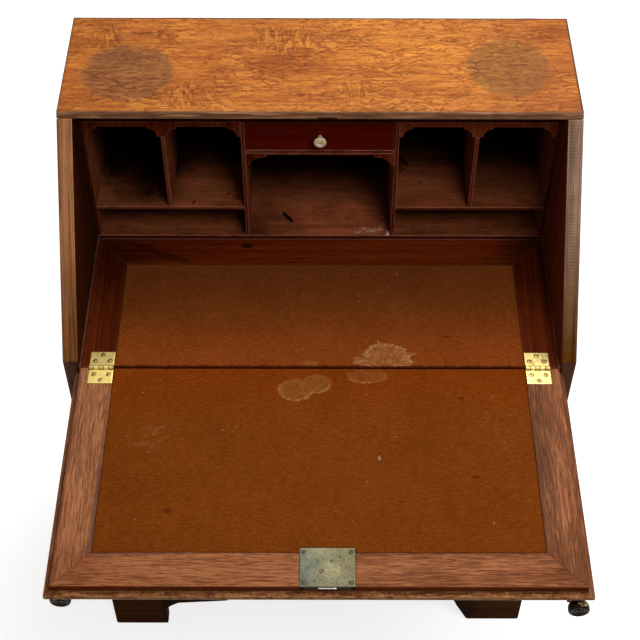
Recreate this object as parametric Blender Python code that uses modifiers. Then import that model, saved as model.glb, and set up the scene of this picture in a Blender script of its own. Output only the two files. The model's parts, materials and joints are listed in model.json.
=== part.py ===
"""A slope-front writing bureau, standing open with its fall down on two pulled-out lopers.

Units are metres, +Z is up and -Y is the front. Heights are written from the floor and depths from the hinge
line of the fall. The origin lies on the floor, under the middle of the open bureau.
"""

import math

import bmesh
import bpy
from mathutils import Matrix, Vector

# Fits
CLEARANCE = 0.0003          # between pieces that are glued, seated or screwed together
RUNNING_GAP = 0.0008        # beside pieces that slide
LIP_GAP = 0.0004            # between the closed fall's lip and the sloping edges
JOINT_GAP = 0.0012          # between the bed and the open fall
CUT_MARGIN = 0.005          # how far a cutter runs out of the piece it cuts

# Carcase
WIDTH = 0.750
TOP_DEPTH = 0.21424         # flat of the top, from its front edge to the back
HEIGHT = 1.055
WRITING_HEIGHT = 0.772
SLOPE_ANGLE = math.radians(48.4)
SIDE_THICKNESS = 0.022
TOP_THICKNESS = 0.016
TOP_NOSE_WIDTH = 0.010      # bevelled front edge of the top, in the plane of the slope
BACK_THICKNESS = 0.008
BOTTOM_THICKNESS = 0.022
DIVIDER_THICKNESS = 0.018
FRIEZE_THICKNESS = 0.020

# Base
FOOT_HEIGHT = 0.100
FOOT_WIDTH = 0.098
FOOT_STRAIGHT = 0.062       # height of the foot's upright inner edge
BRACKET_CURVE_WIDTH = 0.034
APRON_HEIGHT = 0.010        # what is left of the bracket above its curve
WING_LENGTH = 0.083         # of the thin wing that runs on from the curve under the moulding
WING_TIP = 0.003            # height of the wing at its end
BRACKET_THICKNESS = 0.020
FOOT_OVERHANG = 0.007
MOULDING_OVERHANG = 0.009
MOULDING_COVE = 0.007

# Fall and writing bed
REBATE_DEPTH = 0.009        # from the writing face down to the lip
LIP_THICKNESS = 0.010
LIP_WIDTH = 0.008
FALL_SIDE_GAP = 0.002
FALL_END_GAP = 0.0008
STILE_WIDTH = 0.0495
FRONT_RAIL_WIDTH = 0.0505
BACK_RAIL_WIDTH = 0.058     # wood left between the bed's leather and the nest
LEATHER_THICKNESS = 0.0011

# Hinges
HINGE_WIDTH = 0.036
LEAF_LENGTH = 0.029
LEAF_THICKNESS = 0.0016
KNUCKLE_RADIUS = 0.00375
KNUCKLE_COUNT = 5
KNUCKLE_GAP = 0.0003
KNUCKLE_PLAY = 0.0006       # between a knuckle and the edges that turn round it
TONGUE_INSET = 0.0002       # the knuckles' tongues are this much slimmer all round
PIN_RADIUS = 0.0015
PIN_PLAY = 0.0004

# Lock
LOCK_WIDTH = 0.0735
LOCK_LENGTH = 0.058
LOCK_OFFSET = 0.0108        # the lock sits to the right, which brings its key to the middle
LOCK_PLATE_THICKNESS = 0.002
LOCK_FLOOR = 0.0019         # wood left under the lock's case
LOCK_CASE_INSET = 0.006
BOLT_WIDTH = 0.024
BOLT_THICKNESS = 0.003
BOLT_LENGTH = 0.030
BOLT_PROUD = 0.0012
BOLT_THROW = 0.006
BOLT_PLAY = 0.0004
KEYHOLE_X = 0.0028
KEYHOLE_SETBACK = 0.023     # from the front of the writing face
KEYHOLE_RADIUS = 0.003
KEY_SLOT_WIDTH = 0.003
KEY_SLOT_LENGTH = 0.009

# Lopers
LOPER_WIDTH = 0.022
LOPER_HEIGHT = 0.038
LEFT_LOPER_SETBACK = 0.021  # from the front of the writing face to the end of a drawn loper
RIGHT_LOPER_SETBACK = 0.0085  # which is drawn out further than the left one
LOPER_BACK_GAP = 0.006
FENCE_THICKNESS = 0.014
LOPER_KNOB_RADIUS = 0.0135
LOPER_KNOB_LENGTH = 0.024

# Pigeonhole nest, heights from the writing face
NEST_SETBACK = 0.0232       # from the front edge of the top
NEST_BOARD = 0.006
NEST_BASE_THICKNESS = 0.004
NEST_RAIL_DEPTH = 0.008
NEST_RAIL_HEIGHT = 0.0242
CENTRE_BAY_WIDTH = 0.222
SHELF_HEIGHT = 0.062        # underside of the low shelves
SMALL_DRAWER_HEIGHT = 0.054
VALANCE_THICKNESS = 0.006
VALANCE_STRIP = 0.009       # height of the valance over the arches
BRACKET_DROP = 0.020
BRACKET_WIDTH = 0.018
CENTRE_STRIP = 0.004
CENTRE_BRACKET_DROP = 0.021
CENTRE_BRACKET_WIDTH = 0.030
BRACKET_TIP = 0.003
BRACKET_CUSP = 0.0025

# Drawers
UPPER_DRAWER_HEIGHT = 0.158
MIDDLE_DRAWER_HEIGHT = 0.178
DRAWER_FRONT_THICKNESS = 0.020
DRAWER_SIDE_THICKNESS = 0.010
DRAWER_BOTTOM_THICKNESS = 0.007
DRAWER_TOP_GAP = 0.008
DRAWER_BACK_GAP = 0.020
DRAWER_KNOB_SPACING = 0.420
DRAWER_KNOB_RADIUS = 0.015
DRAWER_KNOB_LENGTH = 0.026
SMALL_FRONT_THICKNESS = 0.008
SMALL_SIDE_THICKNESS = 0.005
SMALL_BOTTOM_THICKNESS = 0.004
SMALL_KNOB_RADIUS = 0.010
SMALL_KNOB_LENGTH = 0.017

# Turned knobs, as shares of a knob's radius or length
KNOB_COLLAR = 0.62          # radius of the collar against the wood
KNOB_COLLAR_TOP = 0.12
KNOB_STEM = 0.45            # radius of the waist
KNOB_STEM_LOW = 0.2
KNOB_STEM_HIGH = 0.42
KNOB_RIM = 0.16             # radius of the rounded rim, of the length
KNOB_UNDERCUT = -60         # angle in degrees at which the rim turns in to the waist

# Facets of round and curved work
ARC_STEPS = 6
KNOB_STEPS = 20
ROUND_STEPS = 20
COVE_STEPS = 3
COVE_PROFILE = 0.25         # hollow
SHARP_ANGLE = math.radians(40)
WELD_DISTANCE = 0.00001
PIVOT_SIZE = 0.05           # of the empties, as drawn

# Places worked out from the sizes above
INNER_HALF = WIDTH / 2 - SIDE_THICKNESS
BOARD_HALF = INNER_HALF - CLEARANCE
UNDER_TOP = HEIGHT - TOP_THICKNESS
SLOPE_FOOT = WRITING_HEIGHT + (REBATE_DEPTH - LIP_GAP) / math.cos(SLOPE_ANGLE)
SLOPE_TOP = (HEIGHT - SLOPE_FOOT) / math.tan(SLOPE_ANGLE)
DEPTH = SLOPE_TOP + TOP_DEPTH
CASE_BACK = DEPTH - BACK_THICKNESS - CLEARANCE
UP_SLOPE = Vector((math.cos(SLOPE_ANGLE), math.sin(SLOPE_ANGLE)))
INTO_CASE = Vector((math.sin(SLOPE_ANGLE), -math.cos(SLOPE_ANGLE)))
SLOPE_LENGTH = Vector((SLOPE_TOP, HEIGHT - WRITING_HEIGHT)).dot(UP_SLOPE)

FALL_FACE = SLOPE_LENGTH - TOP_NOSE_WIDTH - FALL_END_GAP
FALL_REACH = SLOPE_LENGTH - LIP_GAP
FALL_FACE_HALF = INNER_HALF - FALL_SIDE_GAP
FALL_HALF = FALL_FACE_HALF + LIP_WIDTH
FALL_THICKNESS = REBATE_DEPTH + LIP_THICKNESS
FALL_UNDERSIDE = WRITING_HEIGHT - FALL_THICKNESS
LIP_TOP = WRITING_HEIGHT - REBATE_DEPTH
WINDOW_HALF = FALL_FACE_HALF - STILE_WIDTH
WINDOW_FRONT = -(FALL_FACE - FRONT_RAIL_WIDTH)
HALF_JOINT = JOINT_GAP / 2
LEATHER_SEAT = WRITING_HEIGHT - LEATHER_THICKNESS - CLEARANCE

LOPER_REACH = {"left": FALL_FACE - LEFT_LOPER_SETBACK, "right": FALL_FACE - RIGHT_LOPER_SETBACK}
LOPER_TOP = FALL_UNDERSIDE - CLEARANCE
LOPER_BOTTOM = LOPER_TOP - LOPER_HEIGHT
LOPER_OUTER = INNER_HALF - RUNNING_GAP
LOPER_INNER = LOPER_OUTER - LOPER_WIDTH
LOPER_LENGTH = CASE_BACK - LOPER_BACK_GAP
FENCE_OUTER = LOPER_INNER - RUNNING_GAP

NEST_FRONT = SLOPE_TOP + NEST_SETBACK
NEST_FLOOR = WRITING_HEIGHT + CLEARANCE + NEST_BASE_THICKNESS
NEST_CEILING = UNDER_TOP - CLEARANCE - NEST_BOARD
NEST_RAIL_BOTTOM = UNDER_TOP - CLEARANCE - NEST_RAIL_HEIGHT
NEST_END_INNER = BOARD_HALF - NEST_BOARD
CENTRE_HALF = CENTRE_BAY_WIDTH / 2
SHELF_BOTTOM = WRITING_HEIGHT + SHELF_HEIGHT
SHELF_TOP = SHELF_BOTTOM + NEST_BOARD
SMALL_DRAWER_TOP = NEST_RAIL_BOTTOM - RUNNING_GAP
SMALL_DRAWER_BOTTOM = SMALL_DRAWER_TOP - SMALL_DRAWER_HEIGHT
DRAWER_SHELF_TOP = SMALL_DRAWER_BOTTOM - CLEARANCE
DRAWER_SHELF_BOTTOM = DRAWER_SHELF_TOP - NEST_BOARD
VALANCE_TOP = NEST_RAIL_BOTTOM - CLEARANCE
VALANCE_LOW = VALANCE_TOP - VALANCE_STRIP - BRACKET_DROP

BOTTOM_TOP = FOOT_HEIGHT + BOTTOM_THICKNESS
UPPER_DIVIDER_TOP = LOPER_BOTTOM - CLEARANCE
UPPER_DIVIDER_BOTTOM = UPPER_DIVIDER_TOP - DIVIDER_THICKNESS
MIDDLE_DIVIDER_TOP = UPPER_DIVIDER_BOTTOM - UPPER_DRAWER_HEIGHT
MIDDLE_DIVIDER_BOTTOM = MIDDLE_DIVIDER_TOP - DIVIDER_THICKNESS
LOWER_DIVIDER_TOP = MIDDLE_DIVIDER_BOTTOM - MIDDLE_DRAWER_HEIGHT
LOWER_DIVIDER_BOTTOM = LOWER_DIVIDER_TOP - DIVIDER_THICKNESS

FRONT_MOST = max(FALL_REACH, max(LOPER_REACH.values()) + CLEARANCE + LOPER_KNOB_LENGTH)
HANDS = (("left", -1), ("right", 1))


def new_collection(name):
    collection = bpy.data.collections.new(name)
    bpy.context.scene.collection.children.link(collection)
    return collection


def new_material(name, colour, roughness, metallic=0.0):
    material = bpy.data.materials.new(name)
    material.use_nodes = True
    shader = material.node_tree.nodes["Principled BSDF"]
    shader.inputs["Base Color"].default_value = (*colour, 1.0)
    shader.inputs["Roughness"].default_value = roughness
    shader.inputs["Metallic"].default_value = metallic
    return material


def new_pivot(name, place, parent=None):
    """An empty on a joint's axis. The pieces that move with the joint are its children."""
    pivot = bpy.data.objects.new(name, None)
    pivot.empty_display_size = PIVOT_SIZE
    pivot.location = place
    pivot.parent = parent
    parts.objects.link(pivot)
    return pivot


def put(obj, place, parent, material):
    """Give an object its place in the bureau, its parent and its material, or make it a cutter."""
    obj.parent = parent
    obj.location = Vector(place) - (parent.location if parent is not bureau else Vector())
    if material:
        obj.data.materials.append(material)
        parts.objects.link(obj)
    else:
        obj.hide_render = True
        obj.display_type = "WIRE"
        cutters.objects.link(obj)
    return obj


def ordered(sign, near, far):
    """A range on the left (sign -1) or right (sign 1) side, low end first."""
    return tuple(sorted((sign * near, sign * far)))


def box(name, x, y, z, material=None, parent=None):
    """A box between two limits on each axis. Without a material it is a cutter."""
    mesh = bpy.data.meshes.new(name)
    shape = bmesh.new()
    bmesh.ops.create_cube(shape, size=1.0)
    bmesh.ops.scale(shape, vec=(x[1] - x[0], y[1] - y[0], z[1] - z[0]), verts=shape.verts)
    shape.to_mesh(mesh)
    shape.free()
    middle = (sum(x) / 2, sum(y) / 2, sum(z) / 2)
    return put(bpy.data.objects.new(name, mesh), middle, parent or bureau, material)


def rod(name, axis, radius, limits, place, material=None, parent=None):
    """A cylinder along X or Z, its facets flat to each side. Place is its other two coordinates."""
    mesh = bpy.data.meshes.new(name)
    shape = bmesh.new()
    bmesh.ops.create_cone(
        shape,
        cap_ends=True,
        segments=ROUND_STEPS,
        radius1=radius,
        radius2=radius,
        depth=limits[1] - limits[0],
        matrix=Matrix.Rotation(math.pi / ROUND_STEPS, 4, "Z"),
    )
    shape.to_mesh(mesh)
    shape.free()
    mesh.shade_smooth()
    mesh.set_sharp_from_angle(angle=SHARP_ANGLE)
    obj = bpy.data.objects.new(name, mesh)
    middle = sum(limits) / 2
    if axis == "X":
        obj.rotation_euler.y = math.pi / 2
        centre = (middle, place[0], place[1])
    else:
        centre = (place[0], place[1], middle)
    return put(obj, centre, parent or bureau, material)


def board(name, outline, plane, limits, material=None, parent=None):
    """A flat outline in the XY, XZ or YZ plane, extruded between two limits on the third axis."""
    curve = bpy.data.curves.new(name, "CURVE")
    curve.dimensions = "2D"
    curve.fill_mode = "BOTH"
    curve.extrude = (limits[1] - limits[0]) / 2
    spline = curve.splines.new("POLY")
    spline.points.add(len(outline) - 1)
    for point, (across, along) in zip(spline.points, outline):
        point.co = (across, along, 0.0, 1.0)
    spline.use_cyclic_u = True
    drawn = bpy.data.objects.new(name + "_outline", curve)
    parts.objects.link(drawn)
    mesh = bpy.data.meshes.new_from_object(drawn.evaluated_get(bpy.context.evaluated_depsgraph_get()))
    bpy.data.objects.remove(drawn)
    mesh.name = name
    shape = bmesh.new()
    shape.from_mesh(mesh)
    bmesh.ops.remove_doubles(shape, verts=shape.verts, dist=WELD_DISTANCE)
    bmesh.ops.recalc_face_normals(shape, faces=shape.faces)
    shape.to_mesh(mesh)
    shape.free()
    obj = bpy.data.objects.new(name, mesh)
    middle = sum(limits) / 2
    if plane == "XY":
        centre = (0, 0, middle)
    elif plane == "XZ":
        obj.rotation_euler = (math.pi / 2, 0, 0)
        centre = (0, middle, 0)
    else:
        obj.rotation_euler = (math.pi / 2, 0, math.pi / 2)
        centre = (middle, 0, 0)
    return put(obj, centre, parent or bureau, material)


def cut(obj, cutter):
    modifier = obj.modifiers.new("cut_" + cutter.name, "BOOLEAN")
    modifier.operation = "DIFFERENCE"
    modifier.object = cutter


def join(obj, addition):
    modifier = obj.modifiers.new("join_" + addition.name, "BOOLEAN")
    modifier.operation = "UNION"
    modifier.object = addition


def arc(centre, radius, start, end, steps=ARC_STEPS):
    """Points on an ellipse with two radii, between two angles in degrees, both ends included."""
    angles = [math.radians(start + (end - start) * step / steps) for step in range(steps + 1)]
    return [(centre[0] + radius[0] * math.cos(a), centre[1] + radius[1] * math.sin(a)) for a in angles]


def turned_knob(name, radius, length, place, material, parent):
    """A turned knob pointing to the front: flat face, rounded rim, waisted stem and a collar."""
    collar = KNOB_COLLAR * radius
    stem = KNOB_STEM * radius
    rim = KNOB_RIM * length
    profile = [(0.0, length)] + arc((radius - rim, length - rim), (rim, rim), 90, KNOB_UNDERCUT)
    profile += [(stem, KNOB_STEM_HIGH * length), (stem, KNOB_STEM_LOW * length)]
    profile += [(collar, KNOB_COLLAR_TOP * length), (collar, 0.0), (0.0, 0.0)]
    mesh = bpy.data.meshes.new(name)
    shape = bmesh.new()
    points = [shape.verts.new((across, 0.0, height)) for across, height in profile]
    for first, second in zip(points, points[1:]):
        shape.edges.new((first, second))
    shape.to_mesh(mesh)
    shape.free()
    obj = bpy.data.objects.new(name, mesh)
    screw = obj.modifiers.new("turned", "SCREW")
    screw.axis = "Z"
    screw.steps = KNOB_STEPS
    screw.render_steps = KNOB_STEPS
    screw.use_merge_vertices = True
    screw.merge_threshold = WELD_DISTANCE
    screw.use_smooth_shade = True
    obj.rotation_euler.x = math.pi / 2
    return put(obj, place, parent, material)


def make_carcase():
    """Two sides cut to the slope, the top with its bevelled nose, the back and the inner boards."""
    nose_low = Vector((SLOPE_TOP, HEIGHT)) - UP_SLOPE * TOP_NOSE_WIDTH
    nose_back = nose_low + INTO_CASE * ((nose_low.y - UNDER_TOP) / math.cos(SLOPE_ANGLE))
    top_outline = [(SLOPE_TOP, HEIGHT), tuple(nose_low), tuple(nose_back)]
    top_outline += [(DEPTH, UNDER_TOP), (DEPTH, HEIGHT)]
    top = board("top_board", top_outline, "YZ", (-WIDTH / 2, WIDTH / 2), oak)

    side_nose = nose_low - UP_SLOPE * CLEARANCE
    side_top = UNDER_TOP - CLEARANCE
    side_back = side_nose + INTO_CASE * ((side_nose.y - side_top) / math.cos(SLOPE_ANGLE))
    side_outline = [
        (0.0, FOOT_HEIGHT),
        (DEPTH, FOOT_HEIGHT),
        (DEPTH, side_top),
        tuple(side_back),
        tuple(side_nose),
        (0.0, SLOPE_FOOT),
    ]
    for hand, sign in HANDS:
        board(hand + "_side", side_outline, "YZ", ordered(sign, INNER_HALF, WIDTH / 2), oak)

    across = (-BOARD_HALF, BOARD_HALF)
    inside = (0.0, CASE_BACK)
    box("back_panel", across, (DEPTH - BACK_THICKNESS, DEPTH), (FOOT_HEIGHT, side_top), lining)
    box("bottom_board", across, inside, (FOOT_HEIGHT, BOTTOM_TOP), oak)
    box("drawer_divider_lower", across, inside, (LOWER_DIVIDER_BOTTOM, LOWER_DIVIDER_TOP), oak)
    box("drawer_divider_middle", across, inside, (MIDDLE_DIVIDER_BOTTOM, MIDDLE_DIVIDER_TOP), oak)
    dust_board = box("drawer_divider_upper", across, inside, (UPPER_DIVIDER_BOTTOM, UPPER_DIVIDER_TOP), oak)
    fence_front = FRIEZE_THICKNESS + CLEARANCE
    fence_height = (UPPER_DIVIDER_BOTTOM + DIVIDER_THICKNESS / 2, FALL_UNDERSIDE - CLEARANCE)
    for hand, sign in HANDS:
        fence_across = ordered(sign, FENCE_OUTER - FENCE_THICKNESS, FENCE_OUTER)
        join(dust_board, box(hand + "_fence", fence_across, (fence_front, CASE_BACK), fence_height))
    frieze_height = (UPPER_DIVIDER_TOP + CLEARANCE, FALL_UNDERSIDE - CLEARANCE)
    box("frieze_rail", (-FENCE_OUTER, FENCE_OUTER), (0.0, FRIEZE_THICKNESS), frieze_height, oak)
    return top


def make_base():
    """The coved moulding round the foot of the carcase, and four bracket feet of two boards each."""
    low = (-WIDTH / 2 - MOULDING_OVERHANG, WIDTH / 2 + MOULDING_OVERHANG)
    moulding = box("base_moulding", low, (-MOULDING_OVERHANG, DEPTH), (FOOT_HEIGHT, BOTTOM_TOP), dark_oak)
    shape = bmesh.new()
    shape.from_mesh(moulding.data)
    upper = max(vertex.co.z for vertex in shape.verts)
    rear = max(vertex.co.y for vertex in shape.verts)
    coved = [
        edge
        for edge in shape.edges
        if all(vertex.co.z == upper for vertex in edge.verts)
        and not all(vertex.co.y == rear for vertex in edge.verts)
    ]
    bmesh.ops.bevel(
        shape,
        geom=coved,
        offset=MOULDING_COVE,
        segments=COVE_STEPS,
        profile=COVE_PROFILE,
        affect="EDGES",
    )
    shape.to_mesh(moulding.data)
    shape.free()
    carcase_half = WIDTH / 2 + CLEARANCE
    inside = box(
        "moulding_inside",
        (-carcase_half, carcase_half),
        (-CLEARANCE, DEPTH + CUT_MARGIN),
        (FOOT_HEIGHT - CUT_MARGIN, BOTTOM_TOP + CUT_MARGIN),
    )
    cut(moulding, inside)

    top = FOOT_HEIGHT - CLEARANCE
    half = WIDTH / 2 + FOOT_OVERHANG
    curve_height = top - APRON_HEIGHT - FOOT_STRAIGHT
    curve_centre = (FOOT_WIDTH + BRACKET_CURVE_WIDTH, FOOT_STRAIGHT)
    curve = arc(curve_centre, (BRACKET_CURVE_WIDTH, curve_height), 180, 90)
    wing_end = curve_centre[0] + WING_LENGTH
    wing = [(wing_end, top - WING_TIP), (wing_end, top)]
    bracket = [(0.0, 0.0), (FOOT_WIDTH, 0.0)] + curve + wing + [(0.0, top)]
    for end, corner, inward in (("front", -FOOT_OVERHANG, 1), ("rear", DEPTH, -1)):
        for hand, sign in HANDS:
            name = end + "_" + hand + "_foot"
            facing = [(sign * (half - across), height) for across, height in bracket]
            returning = [(corner + inward * across, height) for across, height in bracket]
            face_depth = ordered(1, corner, corner + inward * BRACKET_THICKNESS)
            foot = board(name, facing, "XZ", face_depth, dark_oak)
            side_width = ordered(sign, half - BRACKET_THICKNESS, half)
            join(foot, board(name + "_return", returning, "YZ", side_width))


def make_bed():
    """The writing bed inside the case, sunk for its leather."""
    depth = (HALF_JOINT, CASE_BACK)
    bed = box("bed_panel", (-BOARD_HALF, BOARD_HALF), depth, (FALL_UNDERSIDE, WRITING_HEIGHT), mahogany)
    leather_back = NEST_FRONT - BACK_RAIL_WIDTH
    recess_depth = (-CUT_MARGIN, leather_back)
    recess_height = (LEATHER_SEAT, WRITING_HEIGHT + CUT_MARGIN)
    cut(bed, box("bed_recess", (-WINDOW_HALF, WINDOW_HALF), recess_depth, recess_height))
    leather_half = WINDOW_HALF - CLEARANCE
    box(
        "bed_leather",
        (-leather_half, leather_half),
        (HALF_JOINT, leather_back - CLEARANCE),
        (WRITING_HEIGHT - LEATHER_THICKNESS, WRITING_HEIGHT),
        leather,
    )
    return bed


def make_fall():
    """The fall: a lipped panel, a facing frame on three sides of it and the leather inside the frame."""
    panel = box(
        "fall_panel",
        (-FALL_HALF, FALL_HALF),
        (-FALL_REACH, -HALF_JOINT),
        (FALL_UNDERSIDE, LIP_TOP),
        fall_wood,
        fall_pivot,
    )
    field_half = WINDOW_HALF - CLEARANCE
    field_depth = (WINDOW_FRONT + CLEARANCE, -HALF_JOINT)
    field_height = (FALL_UNDERSIDE + LIP_THICKNESS / 2, LEATHER_SEAT)
    join(panel, box("fall_field", (-field_half, field_half), field_depth, field_height))
    key_y = -(FALL_FACE - KEYHOLE_SETBACK)
    key_height = (FALL_UNDERSIDE - CUT_MARGIN, LIP_TOP + CUT_MARGIN)
    cut(panel, rod("keyhole", "Z", KEYHOLE_RADIUS, key_height, (KEYHOLE_X, key_y)))
    slot_across = (KEYHOLE_X - KEY_SLOT_WIDTH / 2, KEYHOLE_X + KEY_SLOT_WIDTH / 2)
    cut(panel, box("key_slot", slot_across, (key_y, key_y + KEY_SLOT_LENGTH), key_height))

    frame_outline = [
        (-FALL_FACE_HALF, -FALL_FACE),
        (FALL_FACE_HALF, -FALL_FACE),
        (FALL_FACE_HALF, -HALF_JOINT),
        (WINDOW_HALF, -HALF_JOINT),
        (WINDOW_HALF, WINDOW_FRONT),
        (-WINDOW_HALF, WINDOW_FRONT),
        (-WINDOW_HALF, -HALF_JOINT),
        (-FALL_FACE_HALF, -HALF_JOINT),
    ]
    frame_height = (LIP_TOP + CLEARANCE, WRITING_HEIGHT)
    frame = board("fall_frame", frame_outline, "XY", frame_height, fall_wood, fall_pivot)
    fall_leather = box(
        "fall_leather",
        (-field_half, field_half),
        field_depth,
        (WRITING_HEIGHT - LEATHER_THICKNESS, WRITING_HEIGHT),
        leather,
        fall_pivot,
    )
    return panel, frame, fall_leather


def make_hinges(bed, frame):
    """Two butt hinges let in flush, with their knuckles on the hinge line."""
    knuckle_pitch = HINGE_WIDTH / KNUCKLE_COUNT
    edge = KNUCKLE_RADIUS + KNUCKLE_PLAY
    inner = WINDOW_HALF + CLEARANCE
    pocket_floor = WRITING_HEIGHT - LEAF_THICKNESS - CLEARANCE
    groove_floor = WRITING_HEIGHT - edge
    above = WRITING_HEIGHT + CUT_MARGIN
    axis = (0.0, WRITING_HEIGHT)
    for hand, sign in HANDS:
        ends = ordered(sign, inner, inner + HINGE_WIDTH)
        pocket_across = (ends[0] - CLEARANCE, ends[1] + CLEARANCE)
        for piece, wood, to_back, first, parent in (
            ("bed", bed, 1, 0, bureau),
            ("fall", frame, -1, 1, fall_pivot),
        ):
            name = hand + "_hinge_" + piece + "_leaf"
            leaf_depth = ordered(to_back, edge, LEAF_LENGTH)
            leaf_height = (WRITING_HEIGHT - LEAF_THICKNESS, WRITING_HEIGHT)
            leaf = box(name, ends, leaf_depth, leaf_height, brass, parent)
            tongue_depth = ordered(to_back, 0.0, edge + LEAF_THICKNESS)
            tongue_height = (leaf_height[0] + TONGUE_INSET, leaf_height[1] - TONGUE_INSET)
            for index in range(first, KNUCKLE_COUNT, 2):
                knuckle = name + "_knuckle_" + str(index)
                low = ends[0] + index * knuckle_pitch + KNUCKLE_GAP / 2
                high = ends[0] + (index + 1) * knuckle_pitch - KNUCKLE_GAP / 2
                tongue_across = (low + TONGUE_INSET, high - TONGUE_INSET)
                join(leaf, box(knuckle + "_tongue", tongue_across, tongue_depth, tongue_height))
                join(leaf, rod(knuckle, "X", KNUCKLE_RADIUS, (low, high), axis))
            bore_limits = (ends[0] - CUT_MARGIN, ends[1] + CUT_MARGIN)
            cut(leaf, rod(name + "_bore", "X", PIN_RADIUS + PIN_PLAY, bore_limits, axis))

            reach = to_back * (LEAF_LENGTH + CLEARANCE)
            pocket = ordered(1, -to_back * CUT_MARGIN, reach)
            cut(wood, box(name + "_pocket", pocket_across, pocket, (pocket_floor, above)))
            groove = ordered(1, -to_back * CUT_MARGIN, to_back * (edge + CLEARANCE))
            cut(wood, box(name + "_groove", pocket_across, groove, (groove_floor, above)))
        rod(hand + "_hinge_pin", "X", PIN_RADIUS, ends, axis, brass)


def make_lock(top, panel, frame, fall_leather):
    """The box lock let into the fall's front rail, its bolt, and the mortise in the nose of the top."""
    across = (LOCK_OFFSET - LOCK_WIDTH / 2, LOCK_OFFSET + LOCK_WIDTH / 2)
    depth = (-FALL_FACE, -FALL_FACE + LOCK_LENGTH)
    plate_bottom = WRITING_HEIGHT - LOCK_PLATE_THICKNESS
    case_bottom = LIP_TOP + CLEARANCE + LOCK_FLOOR
    case_across = (across[0] + LOCK_CASE_INSET, across[1] - LOCK_CASE_INSET)
    case_back = -FALL_FACE + FRONT_RAIL_WIDTH - LOCK_CASE_INSET
    above = WRITING_HEIGHT + CUT_MARGIN
    before = -FALL_FACE - LIP_WIDTH

    plate_recess = box(
        "lock_plate_recess",
        (across[0] - CLEARANCE, across[1] + CLEARANCE),
        (before, depth[1] + CLEARANCE),
        (plate_bottom - CLEARANCE, above),
    )
    for piece in (panel, frame, fall_leather):
        cut(piece, plate_recess)
    case_recess = box(
        "lock_case_recess",
        (case_across[0] - CLEARANCE, case_across[1] + CLEARANCE),
        (before, case_back + CLEARANCE),
        (case_bottom, above),
    )
    cut(frame, case_recess)

    case = box("lock_case", across, depth, (plate_bottom, WRITING_HEIGHT), lock_brass, fall_pivot)
    seated = case_bottom + CLEARANCE
    body_height = (seated, plate_bottom + LOCK_PLATE_THICKNESS / 2)
    join(case, box("lock_body", case_across, (-FALL_FACE, case_back), body_height))

    bolt_middle = (seated + plate_bottom) / 2
    bolt_height = (bolt_middle - BOLT_THICKNESS / 2, bolt_middle + BOLT_THICKNESS / 2)
    bolt_across = (LOCK_OFFSET - BOLT_WIDTH / 2, LOCK_OFFSET + BOLT_WIDTH / 2)
    bolt_front = -FALL_FACE - BOLT_PROUD
    bolt_back = bolt_front + BOLT_LENGTH
    bolt_slot = box(
        "bolt_slot",
        (bolt_across[0] - BOLT_PLAY, bolt_across[1] + BOLT_PLAY),
        (before, bolt_back + BOLT_PLAY),
        (bolt_height[0] - BOLT_PLAY, bolt_height[1] + BOLT_PLAY),
    )
    cut(case, bolt_slot)
    box("lock_bolt", bolt_across, (bolt_front, bolt_back), bolt_height, steel, bolt_pivot)

    mortise_depth = BOLT_PROUD + BOLT_THROW + FALL_END_GAP
    nose_start = SLOPE_LENGTH - TOP_NOSE_WIDTH
    along = nose_start + (mortise_depth - CUT_MARGIN) / 2
    outward = WRITING_HEIGHT - bolt_middle
    half_across = BOLT_WIDTH / 2 + BOLT_PLAY
    half_along = (mortise_depth + CUT_MARGIN) / 2
    half_thick = BOLT_THICKNESS / 2 + BOLT_PLAY
    mortise = box(
        "bolt_mortise",
        (LOCK_OFFSET - half_across, LOCK_OFFSET + half_across),
        (-half_along, half_along),
        (-half_thick, half_thick),
    )
    centre = UP_SLOPE * along - INTO_CASE * outward
    mortise.location = (LOCK_OFFSET, centre.x, WRITING_HEIGHT + centre.y)
    mortise.rotation_euler.x = SLOPE_ANGLE
    cut(top, mortise)


def make_lopers():
    """The two lopers, drawn out to carry the fall, each with a turned knob on its end."""
    for hand, sign in HANDS:
        across = ordered(sign, LOPER_INNER, LOPER_OUTER)
        slide = new_pivot(hand + "_loper_axis", (sum(across) / 2, 0.0, LOPER_TOP), bureau)
        reach = LOPER_REACH[hand]
        length = (-reach, LOPER_LENGTH - reach)
        box(hand + "_loper", across, length, (LOPER_BOTTOM, LOPER_TOP), fall_wood, slide)
        knob_place = (sum(across) / 2, -reach - CLEARANCE, (LOPER_BOTTOM + LOPER_TOP) / 2)
        knob_name = hand + "_loper_knob"
        turned_knob(knob_name, LOPER_KNOB_RADIUS, LOPER_KNOB_LENGTH, knob_place, bronze, slide)


def bracketed_edge(spans, low, drop, width):
    """The lower edge of a valance: over each span a flat arch between two cusped brackets."""
    edge = []
    for left, right in spans:
        rise = drop - BRACKET_CUSP
        curve = width - BRACKET_TIP
        top = low + drop
        spring = top - BRACKET_CUSP
        edge += [(left, low)] + arc((left + width, low), (curve, rise), 180, 90)
        edge += [(left + width, top), (right - width, top), (right - width, spring)]
        edge += arc((right - width, low), (curve, rise), 90, 0)[1:] + [(right, low)]
    return edge


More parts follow.
